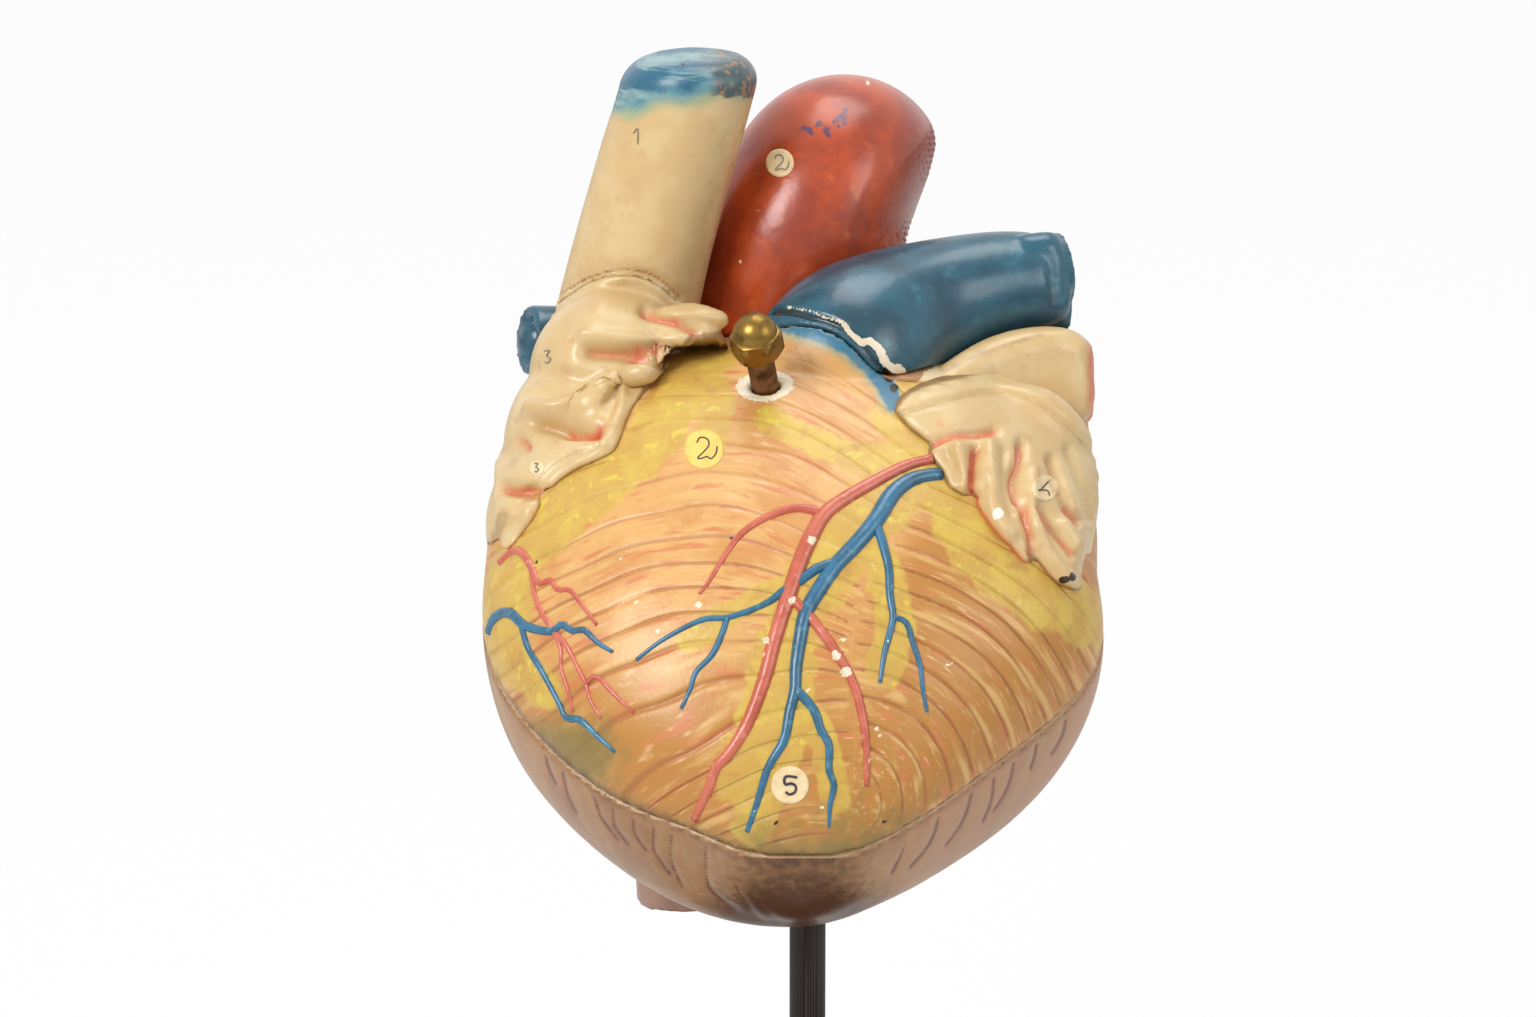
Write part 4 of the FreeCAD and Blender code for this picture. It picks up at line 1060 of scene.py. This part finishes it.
RIGHT_ARTERY_LINES = [
    ([(500, 563), (510, 553), (520, 551), (531, 566), (538, 583), (550, 580), (558, 590), (570, 590),
      (582, 605), (597, 625)], [7, 7, 5, 4, 3]),
    ([(531, 566), (534, 592), (541, 612), (553, 630), (561, 650), (561, 668), (568, 690), (573, 712)],
     [5, 5, 4, 3]),
    ([(553, 630), (566, 645), (577, 666), (586, 684), (590, 700), (601, 718)], [5, 4, 3]),
    ([(586, 684), (596, 676), (612, 692), (634, 713)], [4, 4, 2.5]),
]
RIGHT_VEIN_LINES = [
    ([(489, 632), (495, 617), (510, 613), (522, 624), (538, 630), (553, 631), (562, 624), (572, 631),
      (584, 630), (598, 643), (613, 652)], [9, 9, 7, 6, 5, 3]),
    ([(521, 624), (528, 648), (540, 668), (552, 690), (560, 705), (566, 718), (580, 720), (596, 735),
      (615, 752)], [6, 6, 5, 6, 3]),
]
front_tree = surface(front, left, right)
relief_piece("left_coronary_relief", "artery_red", artery_paint, ARTERY_LINES, "left_coronary_artery")
relief_piece("great_cardiac_vein_relief", "vein_blue", vein_paint, VEIN_LINES, "great_cardiac_vein")
relief_piece("right_coronary_relief", "artery_red", artery_paint, RIGHT_ARTERY_LINES,
             "right_coronary_branches")
relief_piece("small_cardiac_vein_relief", "vein_blue", vein_paint, RIGHT_VEIN_LINES, "small_cardiac_vein")

# %% [markdown]
# ## Number discs
# Small paper discs with handwritten numbers are pasted on, one for each part in the key. A disc
# is a grid of paper squeezed round and pressed on to the surface, and the number is a fine
# raised stroke of ink.

# %% Discs
INK = painted("dried ink", 0.5, "#2A2530")
FAINT_INK = painted("faded ink", 0.6, "#7C7C78")
CREAM_PAPER = painted("varnished paper, cream", 0.55, "#EBD3A6", [(2.5, 0.45, 0.7, "#DFC08E")])
YELLOW_PAPER = painted("varnished paper, yellow", 0.55, "#EDCE6C", [(2.5, 0.45, 0.7, "#E2BC5E")])
PAPER_MM = 0.12
INK_LIFT_MM = 0.16
FIGURES = {
    "2": [[(-7, -6), (-4, -11), (3, -10), (5, -4), (1, 2), (-6, 9), (-3, 10), (3, 8), (7, 10), (12, 5),
           (13, -2)]],
    "5": [[(8, -9), (-5, -10), (-6, -1), (2, -2), (7, 3), (5, 9), (-1, 11), (-5, 8)]],
    "4": [[(-6, 3), (5, -8)], [(-7, 2), (2, 3), (4, 8)]],
    "3": [[(-3, -6), (2, -6), (-1, -1), (3, 2), (0, 6), (-3, 5)]],
    "1": [[(-3, -4), (1, -8), (1, 7)]],
}


def press_on(tree, x, y, lift_mm):
    point, normal = seen(tree, x, y)
    return None if point is None else point + normal * lift_mm * MM


def pasted_paper(name, body, tree, x, y, size, paper):
    """A disc of paper pressed on to a surface at a place on the drawing."""
    bm = bmesh.new()
    bmesh.ops.create_grid(bm, x_segments=12, y_segments=12, size=1.0)
    for vert in bm.verts:
        u, v, _ = vert.co
        round_x, round_y = u * (1 - v * v / 2) ** 0.5, v * (1 - u * u / 2) ** 0.5
        vert.co = press_on(tree, x + round_x * size, y - round_y * size, PAPER_MM)
    bmesh.ops.recalc_face_normals(bm, faces=bm.faces)
    if bm.faces[:][0].normal.dot(Vector(LOOK)) > 0:
        bmesh.ops.reverse_faces(bm, faces=bm.faces)
    made = new_object(name, mesh_from(bm, name))
    made.data.shade_smooth()
    thick = made.modifiers.new("paper", "SOLIDIFY")
    thick.thickness = PAPER_MM * MM
    thick.offset = -1
    made.data.materials.append(paper)
    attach(made, body)


def disc(name, body, tree, x, y, size, figure, paper=CREAM_PAPER, ink=INK, stroke=1.7, scale=1.0):
    """A number written on a disc of paper, or straight on the surface if there is no paper."""
    if paper:
        pasted_paper(name, body, tree, x, y, size, paper)
    bm = bmesh.new()
    radius = stroke / (2 * MM_UNITS) * MM
    for line in FIGURES[figure]:
        points = [press_on(tree, x + u, y + v, INK_LIFT_MM) for u, v in flowing(np.array(line) * scale, 4)]
        for a, b in zip(points, points[1:]):
            run = b - a
            place = Matrix.Translation((a + b) / 2) @ run.to_track_quat("Z", "Y").to_matrix().to_4x4()
            bmesh.ops.create_cone(bm, cap_ends=True, segments=6, radius1=radius, radius2=radius,
                                  depth=run.length * 1.25, matrix=place)
    number = new_object(name + "_number", mesh_from(bm, name + "_number"))
    number.data.materials.append(ink)
    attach(number, body)


aorta_tree, vein_tree = surface(aorta), surface(upper)
disc("ventricle_disc", "front", front_tree, 704, 449, 20, "2", YELLOW_PAPER, stroke=1.5)
disc("apex_disc", "front", front_tree, 790, 785, 19, "5", stroke=2.6, scale=0.85)
disc("left_auricle_disc", "front", front_tree, 1045, 488, 13, "4", stroke=1.4)
disc("right_auricle_number", "front", front_tree, 548, 357, 8, "3", None, FAINT_INK, 1.2)
disc("right_auricle_disc", "front", front_tree, 537, 468, 7, "3", ink=FAINT_INK, scale=0.7)
disc("aorta_disc", "heart", aorta_tree, 780, 163, 14, "2", ink=FAINT_INK, stroke=1.4, scale=0.7)
disc("upper_vein_number", "heart", vein_tree, 637, 137, 11, "1", None, FAINT_INK, 1.2)
print("discs pasted on")

# %% [markdown]
# ## Metal and the stand
# The cap nut is turned brass that has aged to a brown bronze; the stud below it is dull steel
# stained brown. The rod is painted iron. The base is turned and ebonised wood, made here by
# spinning half of its outline. The hardware keeps the shape of its solids: their loose facets
# are merged, so that round parts shade as round, and edges past 30 degrees stay sharp.

# %% Metal, wood and felt
def metal(name, roughness, code, dark, size):
    """Bare metal with darker clouds of a size in millimetres."""
    return painted(name, roughness, code, [(size, 0.4, 0.7, dark)], metallic=1.0)


aged_brass = metal("turned brass, aged", 0.33, "#8A6E36", "#5E4628", 4)
stained_steel = metal("rolled steel, stained", 0.45, "#7A5A3C", "#4A3220", 3)
bright_brass = metal("turned brass", 0.35, "#B5965A", "#957544", 5)
grey_steel = metal("rolled steel", 0.4, "#8C8A86", "#6A6864", 5)
rod_paint = painted("stoved enamel on iron, dark brown", 0.6, "#1C0B04")
wood = painted("turned wood, ebonised and polished", 0.3, "#1E1410",
               [(3, 0.4, 0.7, (1, 8, 8), "#2E1E16")], coat=0.4)
felt = painted("wool baize, felted", 0.95, "#1E3A26", [(0.8, 0.35, 0.7, "#2C5236")])
felt.node_tree.nodes["Principled BSDF"].inputs["Sheen Weight"].default_value = 0.4
inner_paint = painted("satin oil paint, pale lining", 0.55, "#E6CFA6", [(2.5, 0.45, 0.7, "#D9A98A")])

# %% Base
BASE_OUTLINE = [(84.0, 1.5), (84.0, 8.2), (83.0, 9.6), (81.0, 11.0), (78.0, 11.8), (77.6, 13.6)]
COVE = [(78.0 - 49.0 * sin(t), 14.0 + 10.0 * (1 - cos(t))) for t in np.linspace(0.1, pi / 2, 10)]
CROWN = [(29.0, 26.0), (28.2, 27.4), (26.5, 28.0), (4.02, 28.0)]
HOLE = [(3.25, 28.0), (3.25, 12.0), (17.0, 12.0), (17.0, 1.5)]


def crisp(mesh):
    """Smooth shading that keeps a machined piece's real edges sharp."""
    mesh.shade_smooth()
    mesh.set_sharp_from_angle(angle=radians(30))


def spun(name, outline):
    """A turned piece from (radius, height) corners in millimetres."""
    bm = bmesh.new()
    verts = [bm.verts.new((r * MM, 0, z * MM)) for r, z in outline]
    edges = [bm.edges.new(pair) for pair in zip(verts, verts[1:] + verts[:1])]
    bmesh.ops.spin(bm, geom=verts + edges, axis=(0, 0, 1), cent=(0, 0, 0), steps=96, angle=2 * pi,
                   use_merge=True)
    bmesh.ops.remove_doubles(bm, verts=bm.verts, dist=1e-7)
    bmesh.ops.recalc_face_normals(bm, faces=bm.faces)
    made = new_object(name, mesh_from(bm, name))
    crisp(made.data)
    return made


base = spun("turned_base", BASE_OUTLINE + COVE + CROWN[:-1] + HOLE)
base.data.materials.append(wood)
stand_for(base, "stand", "base_wood", "base_plinth")

# %% Hardware
FINISHES = {
    "front_stud": stained_steel, "stud_anchor": bright_brass, "acorn_nut": aged_brass,
    "rod_socket": bright_brass, "locating_dowels": bright_brass, "stand_rod": rod_paint,
    "rod_washer": grey_steel, "rod_nut": grey_steel, "coronary_sinus": vein_paint,
    "posterior_artery": artery_paint, "base_baize": felt,
}
INNER_NODES = ("tricuspid_valve", "mitral_valve", "aortic_valve", "pulmonary_valve", "papillary_muscles",
               "tendinous_cords")
FINISHES.update(dict.fromkeys(INNER_NODES, inner_paint))
record = frame["record"]
BODY_OF = {node: body for body, members in record["behaviour"]["bodies"].items() for node in members}
SLOT_OF = {row["node"]: row["material_slot"] for row in record["subparts"]}
for node, finish in FINISHES.items():
    bm = bmesh.new()
    bm.from_mesh(nodes[node].data)
    bmesh.ops.remove_doubles(bm, verts=bm.verts, dist=1e-6)
    finished = new_object(node + "_finished", mesh_from(bm, node + "_finished"))
    crisp(finished.data)
    paint_with(finished, finish)
    stand_for(finished, BODY_OF[node], SLOT_OF[node], node)
print("finishes on solids:", len(FINISHES))

# %% [markdown]
# ## Light, floor and camera
# A plain pale floor, a bright even room and three soft lamps, as in a small studio.

# %% Studio
AMBIENT = 0.40
FLOOR_GLOW = 0.95
scene = bpy.context.scene
scene.view_settings.view_transform = "Standard"
world = bpy.data.worlds.new("room")
scene.world = world
world.use_nodes = True
tree = world.node_tree
ray = add(tree, "LightPath").outputs
pale = worked_out(tree, "MAXIMUM", ray["Is Camera Ray"], ray["Is Glossy Ray"])
strength = add(tree, "MapRange", {0: pale, 3: AMBIENT, 4: 1.0}).outputs[0]
set_inputs(tree, tree.nodes["Background"], {"Color": (1, 1, 1, 1), "Strength": strength})

floor_bm = bmesh.new()
bmesh.ops.create_grid(floor_bm, x_segments=1, y_segments=1, size=6.0)
floor = new_object("floor", mesh_from(floor_bm, "floor"))
floor_paint, tree, shader = new_paint("matt white paper", 0.9)
set_inputs(tree, shader, {"Base Color": colour("#F2F2F2")})
glow = add(tree, "Emission", {"Color": (1, 1, 1, 1), "Strength": 1.0}).outputs[0]
share = worked_out(tree, "MULTIPLY", add(tree, "LightPath").outputs["Is Camera Ray"], FLOOR_GLOW)
mixed = add(tree, "MixShader", {0: share, 1: shader.outputs[0], 2: glow}).outputs[0]
set_inputs(tree, tree.nodes["Material Output"], {"Surface": mixed})
floor.data.materials.append(floor_paint)


def lamp(name, place, aim, size, power):
    """A soft square lamp."""
    light = bpy.data.lights.new(name, "AREA")
    light.size = size
    light.energy = power
    made = bpy.data.objects.new(name, light)
    made.location = place
    made.rotation_euler = (Vector(aim) - Vector(place)).to_track_quat("-Z", "Y").to_euler()
    scene.collection.objects.link(made)
    return made


HEART = (0, 0, 0.19)
SENSOR_MM = 36.0
key = lamp("key", (-0.75, -0.80, 1.00), HEART, 0.55, 12.5)
fill = lamp("fill", (0.95, -0.60, 0.80), HEART, 0.6, 3.6)
top = lamp("top", (0.1, 0.3, 1.2), HEART, 0.6, 4.5)

camera = bpy.data.objects.new("camera", bpy.data.cameras.new("camera"))
scene.collection.objects.link(camera)
camera.data.sensor_width = SENSOR_MM
camera.data.lens = DRAWING_SCALE / (2 * DRAWING_CENTRE[0]) * SENSOR_MM
camera.data.clip_end = 20.0
camera.location = Vector(EYE * MM)
camera.rotation_euler = (pi / 2 - EYE_DROP, 0, 0)
scene.camera = camera

# %% End
print("sizes written")
